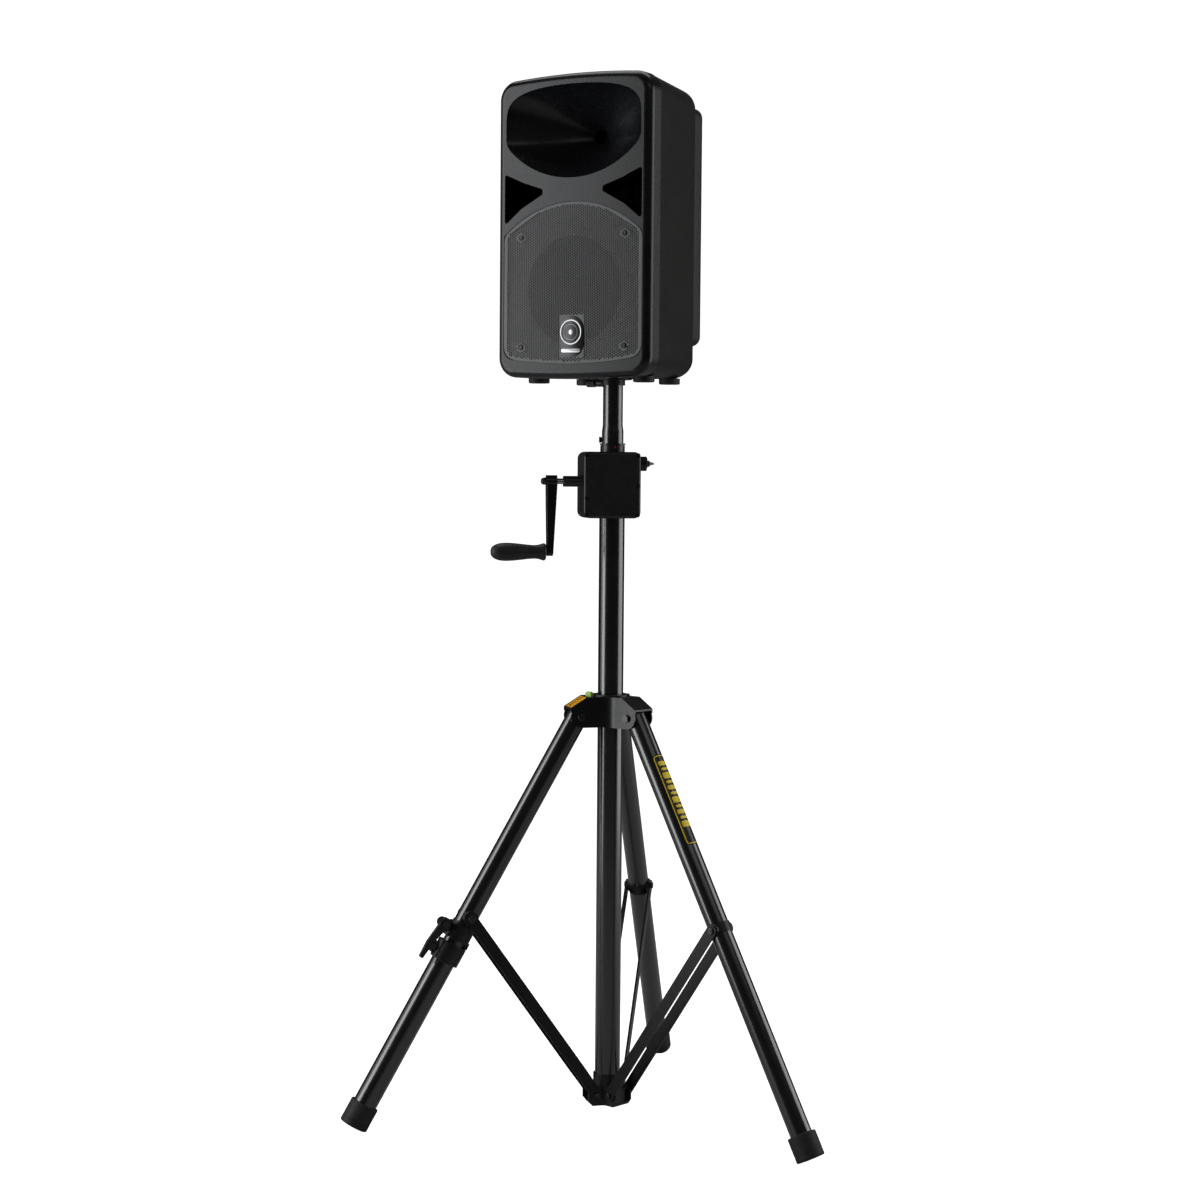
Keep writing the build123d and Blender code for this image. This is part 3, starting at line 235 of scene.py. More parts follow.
M["nylon"] = surf("black_nylon", (0.0075, 0.0075, 0.008), 0.42, 0.07, spec=0.42, grain=1500, gdepth=0.00003, gstrength=0.5, wear=0.25, wear_col=(0.05, 0.05, 0.05), dust=0.04)
M["rubber"] = surf("black_rubber", (0.014, 0.014, 0.0145), 0.62, 0.08, spec=0.35, grain=900, gdepth=0.00006, gstrength=0.6, wear=0.35, wear_col=(0.05, 0.05, 0.05), dust=0.06, tone=0.28)
M["grip"] = surf("grip_plastic", (0.013, 0.013, 0.0135), 0.5, 0.06, spec=0.42, grain=1300, gdepth=0.00004, gstrength=0.5, tone=0.2)
M["gearbox"] = surf("gearbox_coat", (0.012, 0.012, 0.0125), 0.38, 0.05, spec=0.5, grain=820, gdepth=0.00006, gstrength=0.5, wear=0.3, dust=0.03)
M["cabinet"] = surf("grained_polypropylene", (0.0072, 0.0067, 0.0060), 0.42, 0.04, spec=0.34, grain=620, gdepth=0.00010, gstrength=0.5, kind="leather", wear=0.1, wear_col=(0.04, 0.04, 0.04), dust=0.02, tone=0.15)
M["baffle"] = surf("satin_polypropylene", (0.0062, 0.0066, 0.0078), 0.27, 0.03, spec=0.36, grain=1100, gdepth=0.00002, gstrength=0.35, wear=0.12, wear_col=(0.05, 0.05, 0.055), tone=0.15)
M["grille"] = surf("grille_coat", (0.040, 0.040, 0.0412), 0.40, 0.06, spec=0.7, grain=1600, gdepth=0.00002, gstrength=0.4, tone=0.2)
M["screw"] = surf("black_screw", (0.02, 0.02, 0.021), 0.3, 0.08, metallic=0.6, grain=700, gdepth=0.00002, gstrength=0.3, wear=0.6, wear_col=(0.3, 0.3, 0.3))
M["driver"] = surf("ferrite_steel", (0.012, 0.012, 0.0125), 0.6, 0.1, spec=0.2, grain=500, gdepth=0.00004)
M["basket"] = surf("basket_paint", (0.004, 0.004, 0.004), 0.45, 0.06, grain=600)
M["cone"] = surf("paper_cone", (0.005, 0.005, 0.0052), 0.78, 0.08, spec=0.15, grain=420, gdepth=0.00012, gstrength=0.7, sheen=0.04, tone=0.25)
M["board"] = surf("circuit_board", (0.003, 0.005, 0.0035), 0.6, 0.05, spec=0.15, grain=900)
M["jack"] = surf("jack_plastic", (0.012, 0.012, 0.012), 0.25, 0.05, grain=1200, gdepth=0.00001)
M["gear"] = surf("machined_steel", (0.4, 0.4, 0.41), 0.3, 0.08, metallic=1.0, grain=600, gdepth=0.00002, tone=0.12, streak=(0.3, 0.3, 6))
M["bush"] = surf("acetal_bush", (0.012, 0.012, 0.012), 0.3, 0.06, grain=1300, gdepth=0.00002, spec=0.5)
M["lime"] = surf("lime_plastic", (0.42, 0.70, 0.10), 0.28, 0.05, grain=1200, gdepth=0.00001, tone=0.08)
M["silver"] = surf("badge_silver", (0.60, 0.60, 0.61), 0.42, 0.07, metallic=1.0, grain=1500, gdepth=0.00001, tone=0.08)
M["badge_black"] = surf("badge_black", (0.010, 0.010, 0.011), 0.3, 0.05, grain=1500, gdepth=0.00001)
# near-black, almost glossless finish for the horn driver: painted shade standing in for the dark deep inside the horn
# throat
M["void_black"] = surf("throat_painted_shade", (0.0012, 0.0012, 0.0012), 0.8, 0.05, spec=0.05, grain=900, gdepth=0.00002)
M["orange"] = surf("orange_sticker", (1.0, 0.44, 0.01), 0.45, 0.06, grain=1500, gdepth=0.00002, tone=0.07)
M["orange_deep"] = surf("orange_sticker_deep", (0.42, 0.10, 0.008), 0.45, 0.06, grain=1500, gdepth=0.00002, tone=0.07)
M["yellow"] = surf("yellow_ink", (0.95, 0.68, 0.012), 0.42, 0.06, grain=1500, gdepth=0.00002, tone=0.06)
M["label_black"] = surf("label_film", (0.008, 0.008, 0.008), 0.3, 0.05, grain=1800, gdepth=0.00001)
M["red"] = surf("red_mark", (0.55, 0.02, 0.015), 0.4, 0.05, grain=1500, gdepth=0.00001)

SLOT = {"tube_black": "tube", "bracket_black": "bracket", "bar_black": "bar", "plated_dark": "plated",
        "bright_steel": "bright", "moulded_black": "nylon", "foot_rubber": "rubber", "grip_plastic": "grip",
        "level_body": "lime", "gearbox_black": "gearbox", "cabinet_plastic": "cabinet", "baffle_plastic": "baffle",
        "grille_steel": "grille", "screw_black": "screw", "driver_metal": "driver", "basket_metal": "basket",
        "cone_paper": "cone", "board": "board", "jack_plastic": "jack", "gear_steel": "gear", "brass_bush": "bush"}
for sp in frame["record"]["subparts"]:
    o = NODES.get(sp["node"])
    if o is None:
        continue
    o.data.materials.clear()
    # the horn driver gets the painted throat shade in place of its own driver metal
    o.data.materials.append(M["void_black" if sp["node"] == "horn_driver" else SLOT[sp["material_slot"]]])


# ------------------------------------------------------------------ mesh helpers
def new_obj(name, verts, faces, mat, smooth=False):
    me = bpy.data.meshes.new(name)
    me.from_pydata([tuple(v) for v in verts], [], faces)
    me.validate()
    ob = bpy.data.objects.new(name, me)
    bpy.context.scene.collection.objects.link(ob)
    ob.data.materials.append(M[mat] if isinstance(mat, str) else mat)
    if smooth:
        for p in me.polygons:
            p.use_smooth = True
    return ob


# ------------------------------------------------------------------ perforated grille
def cad_axis_x():
    a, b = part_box("cabinet_shell")
    return (a.x + b.x) / 2


CX = cad_axis_x()


def grille():
    """Perforated sheet: round holes on a hexagonal lattice, bowed as the CAD sheet is, with its folded rim."""
    src = NODES["grille"].data
    co = [v.co.copy() for v in src.vertices]
    x0, x1 = min(c.x for c in co), max(c.x for c in co)
    z0, z1 = min(c.z for c in co), max(c.z for c in co)
    y0 = min(c.y for c in co)
    yb = max(c.y for c in co)
    hw = (x1 - x0) / 2
    cx = (x0 + x1) / 2
    # how far the CAD sheet's front falls back between its middle line and its edges (0 = flat)
    sag = min([c.y for c in co if abs(c.x - cx) > 0.985 * hw] or [y0]) - y0
    R = (hw * hw + sag * sag) / (2 * sag) if sag > 0.0005 else 1.0e6

    def bow(x):
        return R - sqrt(max(0.0, R * R - (x - cx) ** 2))
    # outline in (x, z): straight sides, arched top, shallow arc at the foot, rounded corners
    zb, zt, up_, dn = z0 + 0.0115, z1 - 0.055, 0.055, 0.0115

    def arc(xa, za, xm, zm, xb, zc, n):
        """Points of the circle through three points, first to last."""
        ax, ay, bx, by, cx_, cy = xa, za, xm, zm, xb, zc
        d = 2 * (ax * (by - cy) + bx * (cy - ay) + cx_ * (ay - by))
        ux = ((ax ** 2 + ay ** 2) * (by - cy) + (bx ** 2 + by ** 2) * (cy - ay) + (cx_ ** 2 + cy ** 2) * (ay - by)) / d
        uy = ((ax ** 2 + ay ** 2) * (cx_ - bx) + (bx ** 2 + by ** 2) * (ax - cx_) + (cx_ ** 2 + cy ** 2) * (bx - ax)) / d
        r = sqrt((ax - ux) ** 2 + (ay - uy) ** 2)
        a0, a1 = atan2(ay - uy, ax - ux), atan2(cy - uy, cx_ - ux)
        am = atan2(by - uy, bx - ux)
        if not (min(a0, a1) <= am <= max(a0, a1)):
            if a1 > a0:
                a1 -= 2 * pi
            else:
                a1 += 2 * pi
        return [(ux + r * cos(a0 + (a1 - a0) * i / n), uy + r * sin(a0 + (a1 - a0) * i / n)) for i in range(n + 1)]
    raw = [(x1, zb + (zt - zb) * i / 30) for i in range(30)]
    raw += arc(x1, zt, cx, zt + up_, x0, zt, 60)[:-1]
    raw += [(x0, zt - (zt - zb) * i / 30) for i in range(30)]
    raw += arc(x0, zb, cx, zb - dn, x1, zb, 60)[:-1]

    def round_corner(pts, corner, r):
        """Replaces the points near a corner by a quarter-round of about radius r."""
        k = min(range(len(pts)), key=lambda i: (pts[i][0] - corner[0]) ** 2 + (pts[i][1] - corner[1]) ** 2)
        n = len(pts)
        a = k
        while (pts[a % n][0] - corner[0]) ** 2 + (pts[a % n][1] - corner[1]) ** 2 < r * r:
            a -= 1
        b = k
        while (pts[b % n][0] - corner[0]) ** 2 + (pts[b % n][1] - corner[1]) ** 2 < r * r:
            b += 1
        A, B = pts[a % n], pts[b % n]
        keep = []
        i = b
        while i % n != a % n:
            keep.append(pts[i % n])
            i += 1
        keep.append(A)
        ins = []
        for t_ in range(1, 10):
            t_ /= 10
            ins.append(((1 - t_) ** 2 * A[0] + 2 * t_ * (1 - t_) * corner[0] + t_ * t_ * B[0], (1 - t_) ** 2 * A[1] + 2 * t_ * (1 - t_) * corner[1] + t_ * t_ * B[1]))
        return keep + ins
    for corner, r in (((x1, zb), 0.020), ((x0, zb), 0.020), ((x1, zt), 0.0055), ((x0, zt), 0.0055)):
        raw = round_corner(raw, corner, r)
    out = [Vector(p) for p in raw]

    def inside(p, m):
        """True if p is inside the outline by at least m."""
        n = len(out)
        c = False
        dmin = 1e9
        for i in range(n):
            a, b = out[i], out[(i + 1) % n]
            if (a.y > p.y) != (b.y > p.y) and p.x < (b.x - a.x) * (p.y - a.y) / (b.y - a.y) + a.x:
                c = not c
            ab = b - a
            t_ = max(0.0, min(1.0, (p - a).dot(ab) / max(1e-12, ab.length_squared)))
            dmin = min(dmin, (p - a - ab * t_).length)
        return c and dmin > m
    p_ = 0.00428                         # lattice pitch
    col = p_ * sqrt(3) / 2
    hole = 0.00172
    rc = p_ / sqrt(3)
    screws = [(cx + sx * 0.1035, z) for sx in (-1, 1) for z in (1.543, 1.3555)]
    plate = (cx - 0.0255, cx + 0.0255, 1.3355, 1.4085)
    cells = {}
    nx = int(hw / col) + 2
    for i in range(-nx, nx + 1):
        for j in range(int(z0 / p_) - 2, int(z1 / p_) + 3):
            c = Vector((cx + i * col, (j + (0.5 if i % 2 else 0.0)) * p_))
            if not (x0 < c.x < x1 and z0 < c.y < z1):
                continue
            if not inside(c, 0.0046):
                continue
            if any((c.x - a) ** 2 + (c.y - b) ** 2 < 0.0082 ** 2 for a, b in screws):
                continue
            if plate[0] < c.x < plate[1] and plate[2] < c.y < plate[3]:
                continue
            cells[(i, j)] = c
    from mathutils.geometry import delaunay_2d_cdt
    # boundary edges of the union of cells
    vkey, verts2 = {}, []

    def vid(p):
        k = (round(p.x * 1e5), round(p.y * 1e5))
        for dx in (0, -1, 1):
            for dy in (0, -1, 1):
                q = (k[0] + dx, k[1] + dy)
                if q in vkey:
                    return vkey[q]
        vkey[k] = len(verts2)
        verts2.append(p.copy())
        return vkey[k]
    edge_n = {}
    cell_ids = []
    for key, c in cells.items():
        ids = []
        for k in range(6):
            a = radians(60 * k)
            ids.append(vid(c + Vector((cos(a), sin(a))) * rc))
        cell_ids.append((c, ids))
        for k in range(6):
            e = tuple(sorted((ids[k], ids[(k + 1) % 6])))
            edge_n[e] = edge_n.get(e, 0) + 1
    bedges = [e for e, n in edge_n.items() if n == 1]
    # the solid border: outline plus the boundary of the cells
    used = sorted({v for e in bedges for v in e})
    remap = {v: i for i, v in enumerate(used)}
    cv = [verts2[v] for v in used]
    n0 = len(cv)
    cv += out
    ce = [(remap[a], remap[b]) for a, b in bedges] + [(n0 + i, n0 + (i + 1) % len(out)) for i in range(len(out))]
    res = delaunay_2d_cdt(cv, ce, [], 0, 1e-7)
    rv, rf = res[0], res[2]
    V, F = [], []

    def put(x, z, back):
        V.append((x, y0 + bow(x) + (TH if back else 0.0), z))
        return len(V) - 1
    TH = 0.0012
    cellset = {}
    for key, c in cells.items():
        cellset[key] = c

    def in_cell(p):
        """True if p lies in a perforated cell."""
        i0 = round((p.x - cx) / col)
        for i in (i0 - 1, i0, i0 + 1):
            off = 0.5 if i % 2 else 0.0
            j0 = round(p.y / p_ - off)
            for j in (j0 - 1, j0, j0 + 1):
                c = cellset.get((i, j))
                if c is None:
                    continue
                d = p - c
                if abs(d.y) <= p_ / 2 + 1e-7 and abs(d.x * sqrt(3) / 2) + abs(d.y) / 2 <= p_ / 2 + 1e-7:
                    return True
        return False
    for back in (False, True):
        m = {}
        for f in rf:
            c = Vector((0, 0))
            for i in f:
                c += Vector(rv[i])
            c /= len(f)
            if in_cell(c) or not inside(c, 0.0):
                continue
            ids = []
            for i in f:
                if i not in m:
                    m[i] = put(rv[i][0], rv[i][1], back)
                ids.append(m[i])
            F.append(tuple(ids) if back else tuple(reversed(ids)))
    # the perforated cells: a ring of faces round each hole and the hole's wall
    hv = {}
    for c, ids in cell_ids:
        o6 = []
        for k in range(6):
            kk = ids[k]
            if kk not in hv:
                hv[kk] = (put(verts2[kk].x, verts2[kk].y, False), put(verts2[kk].x, verts2[kk].y, True))
            o6.append(hv[kk])
        inn = []
        for k in range(12):
            a = radians(30 * k)
            q = c + Vector((cos(a), sin(a))) * hole
            inn.append((put(q.x, q.y, False), put(q.x, q.y, True)))
        for k in range(6):
            a, b = o6[k], o6[(k + 1) % 6]
            p1, p2, p3 = inn[2 * k], inn[2 * k + 1], inn[(2 * k + 2) % 12]
            F.append((a[0], p1[0], p2[0], p3[0], b[0])[::1])
            F.append((b[1], p3[1], p2[1], p1[1], a[1]))
        for k in range(12):
            a, b = inn[k], inn[(k + 1) % 12]
            F.append((a[0], a[1], b[1], b[0]))
    # folded rim
    n = len(out)
    o_f = [put(p.x, p.y, False) for p in out]
    o_b = []
    for p in out:
        V.append((p.x, yb, p.y))
        o_b.append(len(V) - 1)
    for i in range(n):
        k = (i + 1) % n
        F.append((o_f[i], o_f[k], o_b[k], o_b[i]))
    ob = new_obj("grille_sheet", V, F, "grille")
    bm = bmesh.new()
    bm.from_mesh(ob.data)
    bmesh.ops.remove_doubles(bm, verts=bm.verts, dist=2e-6)
    bm.to_mesh(ob.data)
    bm.free()
    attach(ob, "speaker")
    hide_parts("grille")
    return y0, bow, cx


GY, GBOW, GX = grille()


def lathe_y(name, prof, centre, mat, seg=48, body="speaker"):
    """Solid turned about the Y axis through centre: prof is (r, y offset) from the front round to the back."""
    V, F = [], []
    n = len(prof)
    for i in range(seg):
        a = 2 * pi * i / seg
        for r, y in prof:
            V.append((centre[0] + r * cos(a), centre[1] + y, centre[2] + r * sin(a)))
    for i in range(seg):
        k = (i + 1) % seg
        for m in range(n - 1):
            F.append((i * n + m, k * n + m, k * n + m + 1, i * n + m + 1))
    ob = new_obj(name, V, F, mat)
    tidy(ob)
    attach(ob, body)
    return ob


def tidy(ob, angle=35):
    """Joins doubles, points normals out and shades by angle."""
    bm = bmesh.new()
    bm.from_mesh(ob.data)
    bmesh.ops.remove_doubles(bm, verts=bm.verts, dist=1e-6)
    bmesh.ops.recalc_face_normals(bm, faces=bm.faces)
    for f in bm.faces:
        f.smooth = True
    for e in bm.edges:
        if len(e.link_faces) == 2 and e.calc_face_angle(0) > radians(angle):
            e.smooth = False
    bm.to_mesh(ob.data)
    bm.free()


def slab_xz(name, pts, y_front, y_back, mat, bevel=0.0006, body="speaker"):
    """Plate standing in XZ: outline pts, with a bevelled front edge."""
    V, F = [], []
    n = len(pts)
    c = Vector((sum(p[0] for p in pts) / n, sum(p[1] for p in pts) / n))

    def shrink(p, d):
        v = Vector(p) - c
        return c + v * (1 - d / max(1e-6, v.length))
    rings = [(0.0, y_back), (0.0, y_front + bevel), (bevel * 0.3, y_front + bevel * 0.3), (bevel, y_front)]
    for d, y in rings:
        for p in pts:
            q = shrink(p, d)
            V.append((q.x, y, q.y))
    for r in range(len(rings) - 1):
        for i in range(n):
            k = (i + 1) % n
            F.append((r * n + i, r * n + k, (r + 1) * n + k, (r + 1) * n + i))
    F.append(tuple(range((len(rings) - 1) * n, len(rings) * n)))
    F.append(tuple(reversed(range(n))))
    ob = new_obj(name, V, F, mat)
    tidy(ob)
    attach(ob, body)
    return ob


def rrect(cx, cz, w, h, r, n=8):
    pts = []
    for sx, sz, a0 in ((1, 1, 0), (-1, 1, 90), (-1, -1, 180), (1, -1, 270)):
        for i in range(n + 1):
            a = radians(a0 + 90 * i / n)
            pts.append((cx + sx * (w / 2 - r) + r * cos(a), cz + sz * (h / 2 - r) + r * sin(a)))
    return pts


# badge: black backing plate, plain outer ring, inner ring and small disc, and a blank bar
by = GY + 0.0002
slab_xz("badge_plate", rrect(GX, 1.3722, 0.0490, 0.0700, 0.0230, 14), by - 0.0016, by + 0.0010, "badge_black", 0.0008)
lathe_y("badge_ring", [(0.0186, 0.0), (0.0189, -0.0010), (0.0194, -0.0014), (0.0210, -0.0014), (0.0215, -0.0010), (0.0217, 0.0), (0.0186, 0.0)],
        (GX, by - 0.0016, 1.3796), "silver", 64)
lathe_y("badge_disc", [(0.0, -0.0012), (0.0034, -0.0011), (0.0043, -0.0008), (0.0046, 0.0), (0.0, 0.0)],
        (GX, by - 0.0014, 1.3796), "silver", 48)
lathe_y("badge_inner_ring", [(0.0122, 0.0), (0.0124, -0.0007), (0.0130, -0.0010), (0.0136, -0.0007), (0.0138, 0.0), (0.0122, 0.0)],
        (GX, by - 0.0014, 1.3796), "silver", 56)
slab_xz("badge_bar", rrect(GX, 1.3482, 0.0380, 0.0062, 0.0022, 5), by - 0.0027, by - 0.0014, "silver", 0.0006)


# ------------------------------------------------------------------ label on the right leg
def tube_patch(name, p, d, n, t, rad, s0, s1, a0, a1, mat, body, thick=0.00012, ns=24, na=16, corner=0.0, ring=0.0):
    """Film wrapped on a tube: along s0..s1, round a0..a1 (degrees from n towards t). ring > 0 leaves only a frame that wide."""
    V, F = [], []

    def outline_(inset):
        L0, L1 = s0 + inset, s1 - inset
        w0, w1 = radians(a0) * rad + inset, radians(a1) * rad - inset
        r = max(0.0002, corner - inset)
        pts = []
        for sx, sy, b in ((1, 1, 0), (-1, 1, 90), (-1, -1, 180), (1, -1, 270)):
            cx_ = (L1 - r) if sx > 0 else (L0 + r)
            cy_ = (w1 - r) if sy > 0 else (w0 + r)
            for i in range(9):
                a = radians(b + 90 * i / 8)
                pts.append((cx_ + r * cos(a), cy_ + r * sin(a)))
        # subdivide the runs across so that the film follows the tube
        outp = []
        for i in range(len(pts)):
            a, b = pts[i], pts[(i + 1) % len(pts)]
            m = max(1, int(abs(b[1] - a[1]) / 0.0016))
            for k in range(m):
                outp.append((a[0] + (b[0] - a[0]) * k / m, a[1] + (b[1] - a[1]) * k / m))
        return outp

    def at(s, w, r_):
        an = w / rad
        return p + d * s + (n * cos(an) + t * sin(an)) * r_
    o = outline_(0.0)
    if ring > 0:
        q = outline_(ring)
        m = min(len(o), len(q))
        # both outlines are resampled to the same count by arc share
        def resample(pts, N):
            L = [0.0]
            for i in range(len(pts)):
                a, b = pts[i], pts[(i + 1) % len(pts)]
                L.append(L[-1] + sqrt((a[0] - b[0]) ** 2 + (a[1] - b[1]) ** 2))
            outp = []
            k = 0
            for i in range(N):
                x = L[-1] * i / N
                while L[k + 1] < x:
                    k += 1
                f = (x - L[k]) / max(1e-12, L[k + 1] - L[k])
                a, b = pts[k % len(pts)], pts[(k + 1) % len(pts)]
                outp.append((a[0] + (b[0] - a[0]) * f, a[1] + (b[1] - a[1]) * f))
            return outp
        N = 240
        oo, qq = resample(o, N), resample(q, N)
        for r_ in (rad + thick, rad - 0.0001):
            for s_, w_ in oo:
                V.append(at(s_, w_, r_))
            for s_, w_ in qq:
                V.append(at(s_, w_, r_))
        for i in range(N):
            k = (i + 1) % N
            F.append((i, k, N + k, N + i))
            F.append((i, k, 2 * N + k, 2 * N + i))
            F.append((N + i, N + k, 3 * N + k, 3 * N + i))
            F.append((2 * N + i, 2 * N + k, 3 * N + k, 3 * N + i))
    else:
        # strips across: for each angle step, the film's length at that angle
        w0, w1 = radians(a0) * rad, radians(a1) * rad
        rows = []
        for i in range(na * 2 + 1):
            w = w0 + (w1 - w0) * i / (na * 2)
            e = min(w - w0, w1 - w)
            cut = corner - sqrt(max(0.0, corner ** 2 - max(0.0, corner - e) ** 2)) if e < corner else 0.0
            rows.append((w, s0 + cut, s1 - cut))
        for r_ in (rad + thick, rad - 0.0001):
            for w, a, b in rows:
                for k in range(ns + 1):
                    V.append(at(a + (b - a) * k / ns, w, r_))
        M_ = ns + 1
        NR = len(rows)
        for side in (0, 1):
            o_ = side * NR * M_
            for i in range(NR - 1):
                for k in range(ns):
                    F.append((o_ + i * M_ + k, o_ + i * M_ + k + 1, o_ + (i + 1) * M_ + k + 1, o_ + (i + 1) * M_ + k))
        o_ = NR * M_
        for i in range(NR - 1):
            for k in (0, ns):
                F.append((i * M_ + k, (i + 1) * M_ + k, o_ + (i + 1) * M_ + k, o_ + i * M_ + k))
        for k in range(ns):
            for i in (0, NR - 1):
                F.append((i * M_ + k, i * M_ + k + 1, o_ + i * M_ + k + 1, o_ + i * M_ + k))
    ob = new_obj(name, V, F, mat)
    tidy(ob)
    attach(ob, body)
    return ob


P_, t_r, n_r, d_r = leg_axes("right")
LR = 0.019
LA0, LA1 = -43, 62
tube_patch("label_film", P_, d_r, n_r, t_r, LR, 0.0785, 0.2480, LA0 - 3, LA1 + 3, "label_black", "leg_right", 0.00012, corner=0.006)
tube_patch("label_border", P_, d_r, n_r, t_r, LR, 0.0805, 0.2460, LA0, LA1, "yellow", "leg_right", 0.00026, corner=0.0055, ring=0.0018)
# plain bars in place of lettering
w_lo, w_hi = radians(LA0) * LR, radians(LA1) * LR
k = 0
s_ = 0.0915
for i, L_ in enumerate((0.010, 0.006, 0.014, 0.006, 0.010, 0.006, 0.014, 0.006, 0.010, 0.006, 0.014)):
    tube_patch("label_block_%02d" % (i + 1), P_, d_r, n_r, t_r, LR, s_, s_ + L_ * 0.80, LA0 + (20 if i % 2 else 15), LA1 - (20 if i % 2 else 15), "yellow", "leg_right", 0.00024, corner=0.0016 if L_ > 0.007 else 0.0010, ns=6, na=10)
    s_ += L_ * 0.80 + 0.0042


# ------------------------------------------------------------------ marks on the collar
def film(name, origin, ax, ay, nrm, pts, mat, body, thick=0.0002):
    """Flat film: outline pts in (ax, ay) about origin, standing thick proud of the face."""
    V, F = [], []
    n = len(pts)
    for h in (thick, -0.0001):
        for x, y in pts:
            V.append(origin + ax * x + ay * y + nrm * h)
    F.append(tuple(range(n)))
    F.append(tuple(reversed(range(n, 2 * n))))
    for i in range(n):
        k = (i + 1) % n
        F.append((i, k, n + k, n + i))
    ob = new_obj(name, V, F, mat)
    tidy(ob)
    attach(ob, body)
    return ob


uL, tL = U(AZ["left"]), T(AZ["left"])
sl = Vector((uL.x * 31, uL.y * 31, -19)).normalized()       # down the roof of the left arm
nl = Vector((uL.x * 19, uL.y * 19, 31)).normalized()
roof = ORG + uL * 0.048 + Vector((0, 0, 0.747))
L_roof = sqrt(31 ** 2 + 19 ** 2) / 1000
film("sticker_orange_near", roof, sl, tL, nl, rrect(L_roof * 0.5, 0.0100, 0.0325, 0.0150, 0.0015, 5), "orange", "collar", 0.0002)
film("sticker_orange_far", roof, sl, tL, nl, rrect(L_roof * 0.5, -0.0080, 0.0325, 0.0165, 0.0015, 5), "orange", "collar", 0.0002)
for i in range(5):
    film("sticker_tick_%d" % (i + 1), roof, sl, tL, nl, rrect(L_roof * 0.5 - 0.0110 + 0.0055 * i, -0.0055, 0.0030, 0.0060, 0.0006, 3), "label_black", "collar", 0.00035)


def disc_on_cyl(name, az, z, rad, r, mat, body):
    """Small round mark on an upright cylinder about the mast."""
    V, F = [], []
    n = 20
    rings = (1.0, 0.6, 0.0)
    for h in (0.00015, -0.0001):
        for q in rings:
            for i in range(n):
                a = 2 * pi * i / n
                x, y = r * q * cos(a), r * q * sin(a)
                an = radians(az) + x / rad
                V.append(ORG + Vector((sin(an), -cos(an), 0)) * (rad + h) + Vector((0, 0, z + y)))
    m = len(rings)
    for side in (0, 1):
        for k in range(m - 1):
            for i in range(n):
                j = (i + 1) % n
                b = side * m * n
                F.append((b + k * n + i, b + k * n + j, b + (k + 1) * n + j, b + (k + 1) * n + i))
    for i in range(n):
        j = (i + 1) % n
        F.append((i, j, m * n + j, m * n + i))
    ob = new_obj(name, V, F, mat)
    tidy(ob)
    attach(ob, body)
    return ob


disc_on_cyl("red_mark", 43.0, 1.1852, 0.0216, 0.0017, "red", "mast")


# ------------------------------------------------------------------ level vial: the spirit level's box and a capsule maker, which is not called
a_, b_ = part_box("spirit_level")
vc = (a_ + b_) / 2
tV = T(-14)
uV = U(-14)


def capsule(name, c, ax, length, r, mat, body, slot, seg=20):
    V, F = [], []
    other = Vector((0, 0, 1))
    side = ax.cross(other).normalized()
    prof = []
    for i in range(7):
        a = radians(90 * i / 6)
        prof.append((-length / 2 + r - r * cos(a), r * sin(a)))
    for i in range(7):
        a = radians(90 * i / 6)
        prof.append((length / 2 - r + r * sin(a), r * cos(a)))
    for x, q in prof:
        for i in range(seg):
            a = 2 * pi * i / seg
            V.append(c + ax * x + (side * cos(a) + other * sin(a)) * q)
    for k in range(len(prof) - 1):
        for i in range(seg):
            j = (i + 1) % seg
            F.append((k * seg + i, k * seg + j, (k + 1) * seg + j, (k + 1) * seg + i))
    ob = new_obj(name, V, F, mat)
    tidy(ob, 60)
    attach(ob, body)
    return ob

# ------------------------------------------------------------------ studio
BETA = radians(31.0)
R_ = Vector((cos(BETA), sin(BETA), 0))            # right of the viewer
B_ = Vector((sin(BETA), -cos(BETA), 0))           # towards the viewer


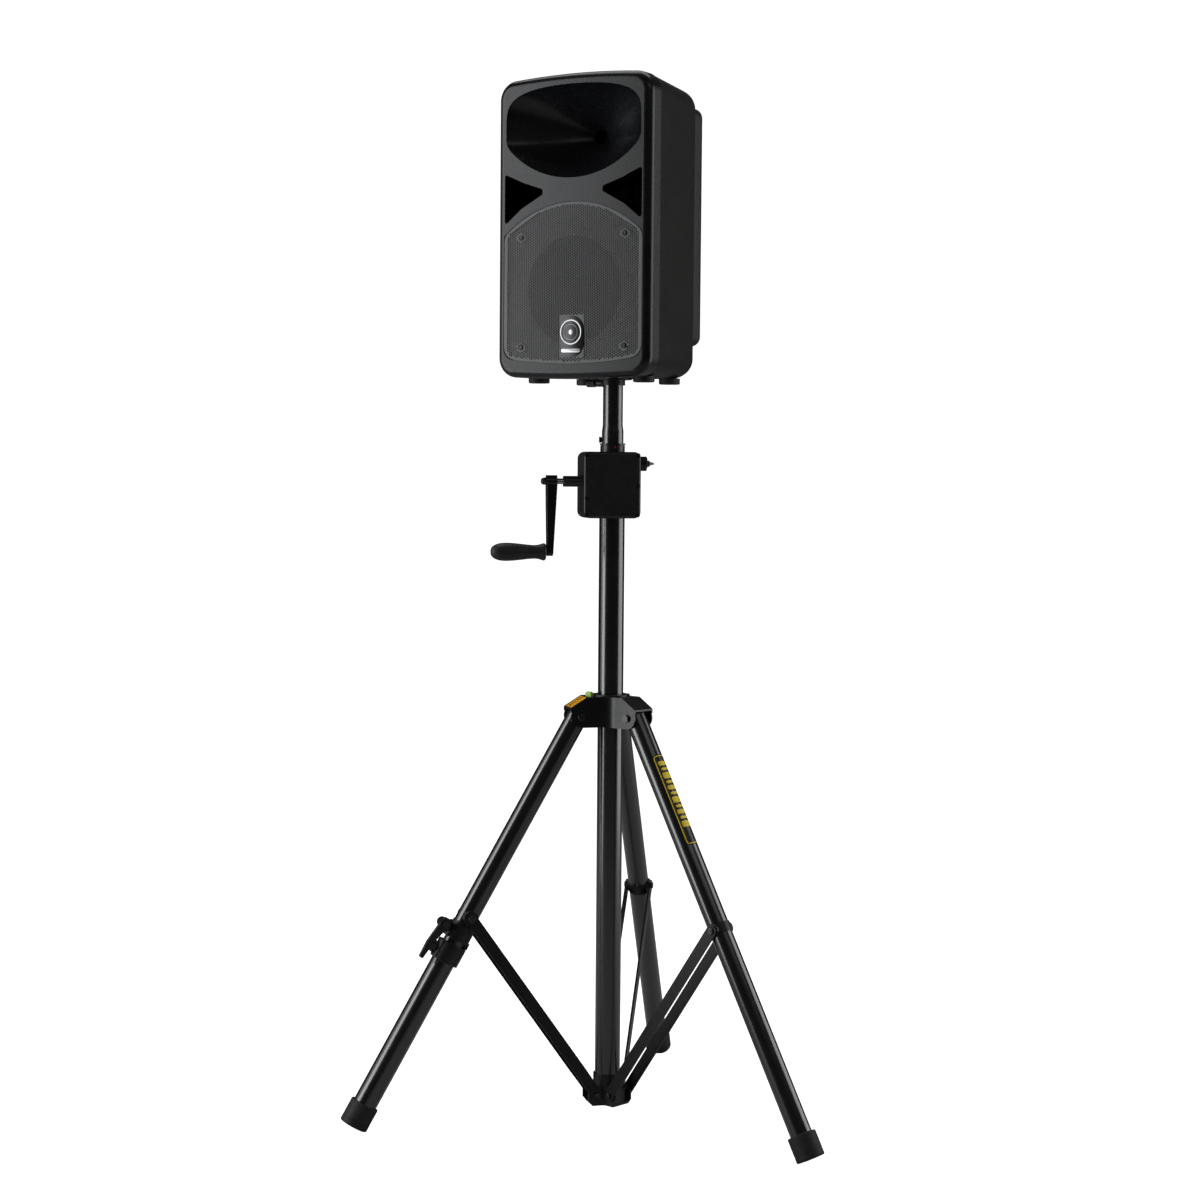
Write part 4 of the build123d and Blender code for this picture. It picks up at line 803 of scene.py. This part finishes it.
def studio():
    me = bpy.data.meshes.new("floor")
    s = 40.0
    me.from_pydata([(-s, -s, 0), (s, -s, 0), (s, s, 0), (-s, s, 0)], [], [(0, 1, 2, 3)])
    fl = bpy.data.objects.new("floor", me)
    bpy.context.scene.collection.objects.link(fl)
    m = bpy.data.materials.new("studio_floor")
    m.use_nodes = True
    nt = m.node_tree
    b = nt.nodes["Principled BSDF"]
    b.inputs["Base Color"].default_value = (0.50, 0.50, 0.50, 1)
    b.inputs["Roughness"].default_value = 0.8
    b.inputs["Specular IOR Level"].default_value = 0.1
    b.inputs["Emission Color"].default_value = (1, 1, 1, 1)
    lp = nt.nodes.new("ShaderNodeLightPath")
    k = nt.nodes.new("ShaderNodeMath")
    k.operation = "MULTIPLY"
    k.inputs[1].default_value = 1.12
    nt.links.new(lp.outputs["Is Camera Ray"], k.inputs[0])
    nt.links.new(k.outputs[0], b.inputs["Emission Strength"])
    fl.data.materials.append(m)

    w = bpy.data.worlds.new("studio")
    bpy.context.scene.world = w
    w.use_nodes = True
    nt = w.node_tree
    nt.nodes.clear()
    out = nt.nodes.new("ShaderNodeOutputWorld")
    bg = nt.nodes.new("ShaderNodeBackground")
    lp = nt.nodes.new("ShaderNodeLightPath")
    mr = nt.nodes.new("ShaderNodeMapRange")
    mr.inputs["To Min"].default_value = 0.035
    mr.inputs["To Max"].default_value = 1.05
    nt.links.new(lp.outputs["Is Camera Ray"], mr.inputs["Value"])
    nt.links.new(mr.outputs[0], bg.inputs["Strength"])
    bg.inputs["Color"].default_value = (1, 1, 1, 1)
    nt.links.new(bg.outputs[0], out.inputs[0])

    c = Vector((MX, MY, 0))

    def softbox(name, az, dist, half, z0, z1, rad, col=(1, 1, 1), tilt_to=None):
        """Upright box of light at azimuth az right of the viewer, half its half-angle, rad its brightness."""
        li = bpy.data.lights.new(name, "AREA")
        li.shape = "RECTANGLE"
        li.size = 2 * dist * math.tan(radians(half))
        li.size_y = z1 - z0
        li.energy = rad * pi * li.size * li.size_y
        li.color = col
        ob = bpy.data.objects.new(name, li)
        bpy.context.scene.collection.objects.link(ob)
        a = radians(az)
        loc = c + (R_ * sin(a) + B_ * cos(a)) * dist + Vector((0, 0, (z0 + z1) / 2))
        ob.location = loc
        tgt = c + Vector((0, 0, (z0 + z1) / 2 if tilt_to is None else tilt_to))
        ob.rotation_euler = (tgt - loc).to_track_quat("-Z", "Y").to_euler()
        return ob
    softbox("left_near", -73, 3.0, 13, 0.0, 3.0, LIGHT[0], (0.97, 0.985, 1.0))
    softbox("left_far", -98, 3.0, 8, 0.0, 3.0, LIGHT[1], (0.97, 0.985, 1.0))
    softbox("right", 92, 3.2, 20, 0.0, 2.8, LIGHT[2])
    softbox("front_high", 26, 3.2, 22, 2.7, 3.7, LIGHT[4], (0.96, 0.98, 1.0), 1.5)
    li = bpy.data.lights.new("top", "AREA")
    li.shape = "RECTANGLE"
    li.size, li.size_y = 3.0, 2.0
    li.energy = LIGHT[3] * pi * 6.0
    ob = bpy.data.objects.new("top", li)
    bpy.context.scene.collection.objects.link(ob)
    ob.location = c + Vector((0, 0, 4.0)) - B_ * 0.6
    ob.rotation_euler = ((c + Vector((0, 0, 1.0))) - ob.location).to_track_quat("-Z", "Y").to_euler()


LIGHT = (4.2, 0.9, 2.2, 2.6, 0.7)
studio()


def camera():
    f_px, D, H, pitch, roll, yaw = 2398.1, 4.2235, 1.1639, radians(3.36), radians(0.47), radians(-0.27)
    beta = radians(31.0)
    fw = Vector((sin(yaw) * cos(pitch), cos(yaw) * cos(pitch), -sin(pitch)))
    rt = Vector((cos(yaw), -sin(yaw), 0))
    up = rt.cross(fw)
    rt2 = rt * cos(roll) + up * sin(roll)
    up2 = up * cos(roll) - rt * sin(roll)
    Rz = Matrix.Rotation(beta, 3, "Z")
    rt2, up2, fw = Rz @ rt2, Rz @ up2, Rz @ fw
    loc = Vector((MX, MY, 0)) + Rz @ Vector((0, -D, H))
    m = Matrix(((rt2.x, up2.x, -fw.x, loc.x), (rt2.y, up2.y, -fw.y, loc.y), (rt2.z, up2.z, -fw.z, loc.z), (0, 0, 0, 1)))
    cd = bpy.data.cameras.new("cam")
    cd.sensor_width = 36.0
    cd.lens = f_px / 1200.0 * 36.0
    cd.clip_end = 100
    co = bpy.data.objects.new("cam", cd)
    bpy.context.scene.collection.objects.link(co)
    co.matrix_world = m
    bpy.context.scene.camera = co


camera()
sc = bpy.context.scene
sc.view_settings.view_transform = "Standard"
sc.view_settings.look = "None"
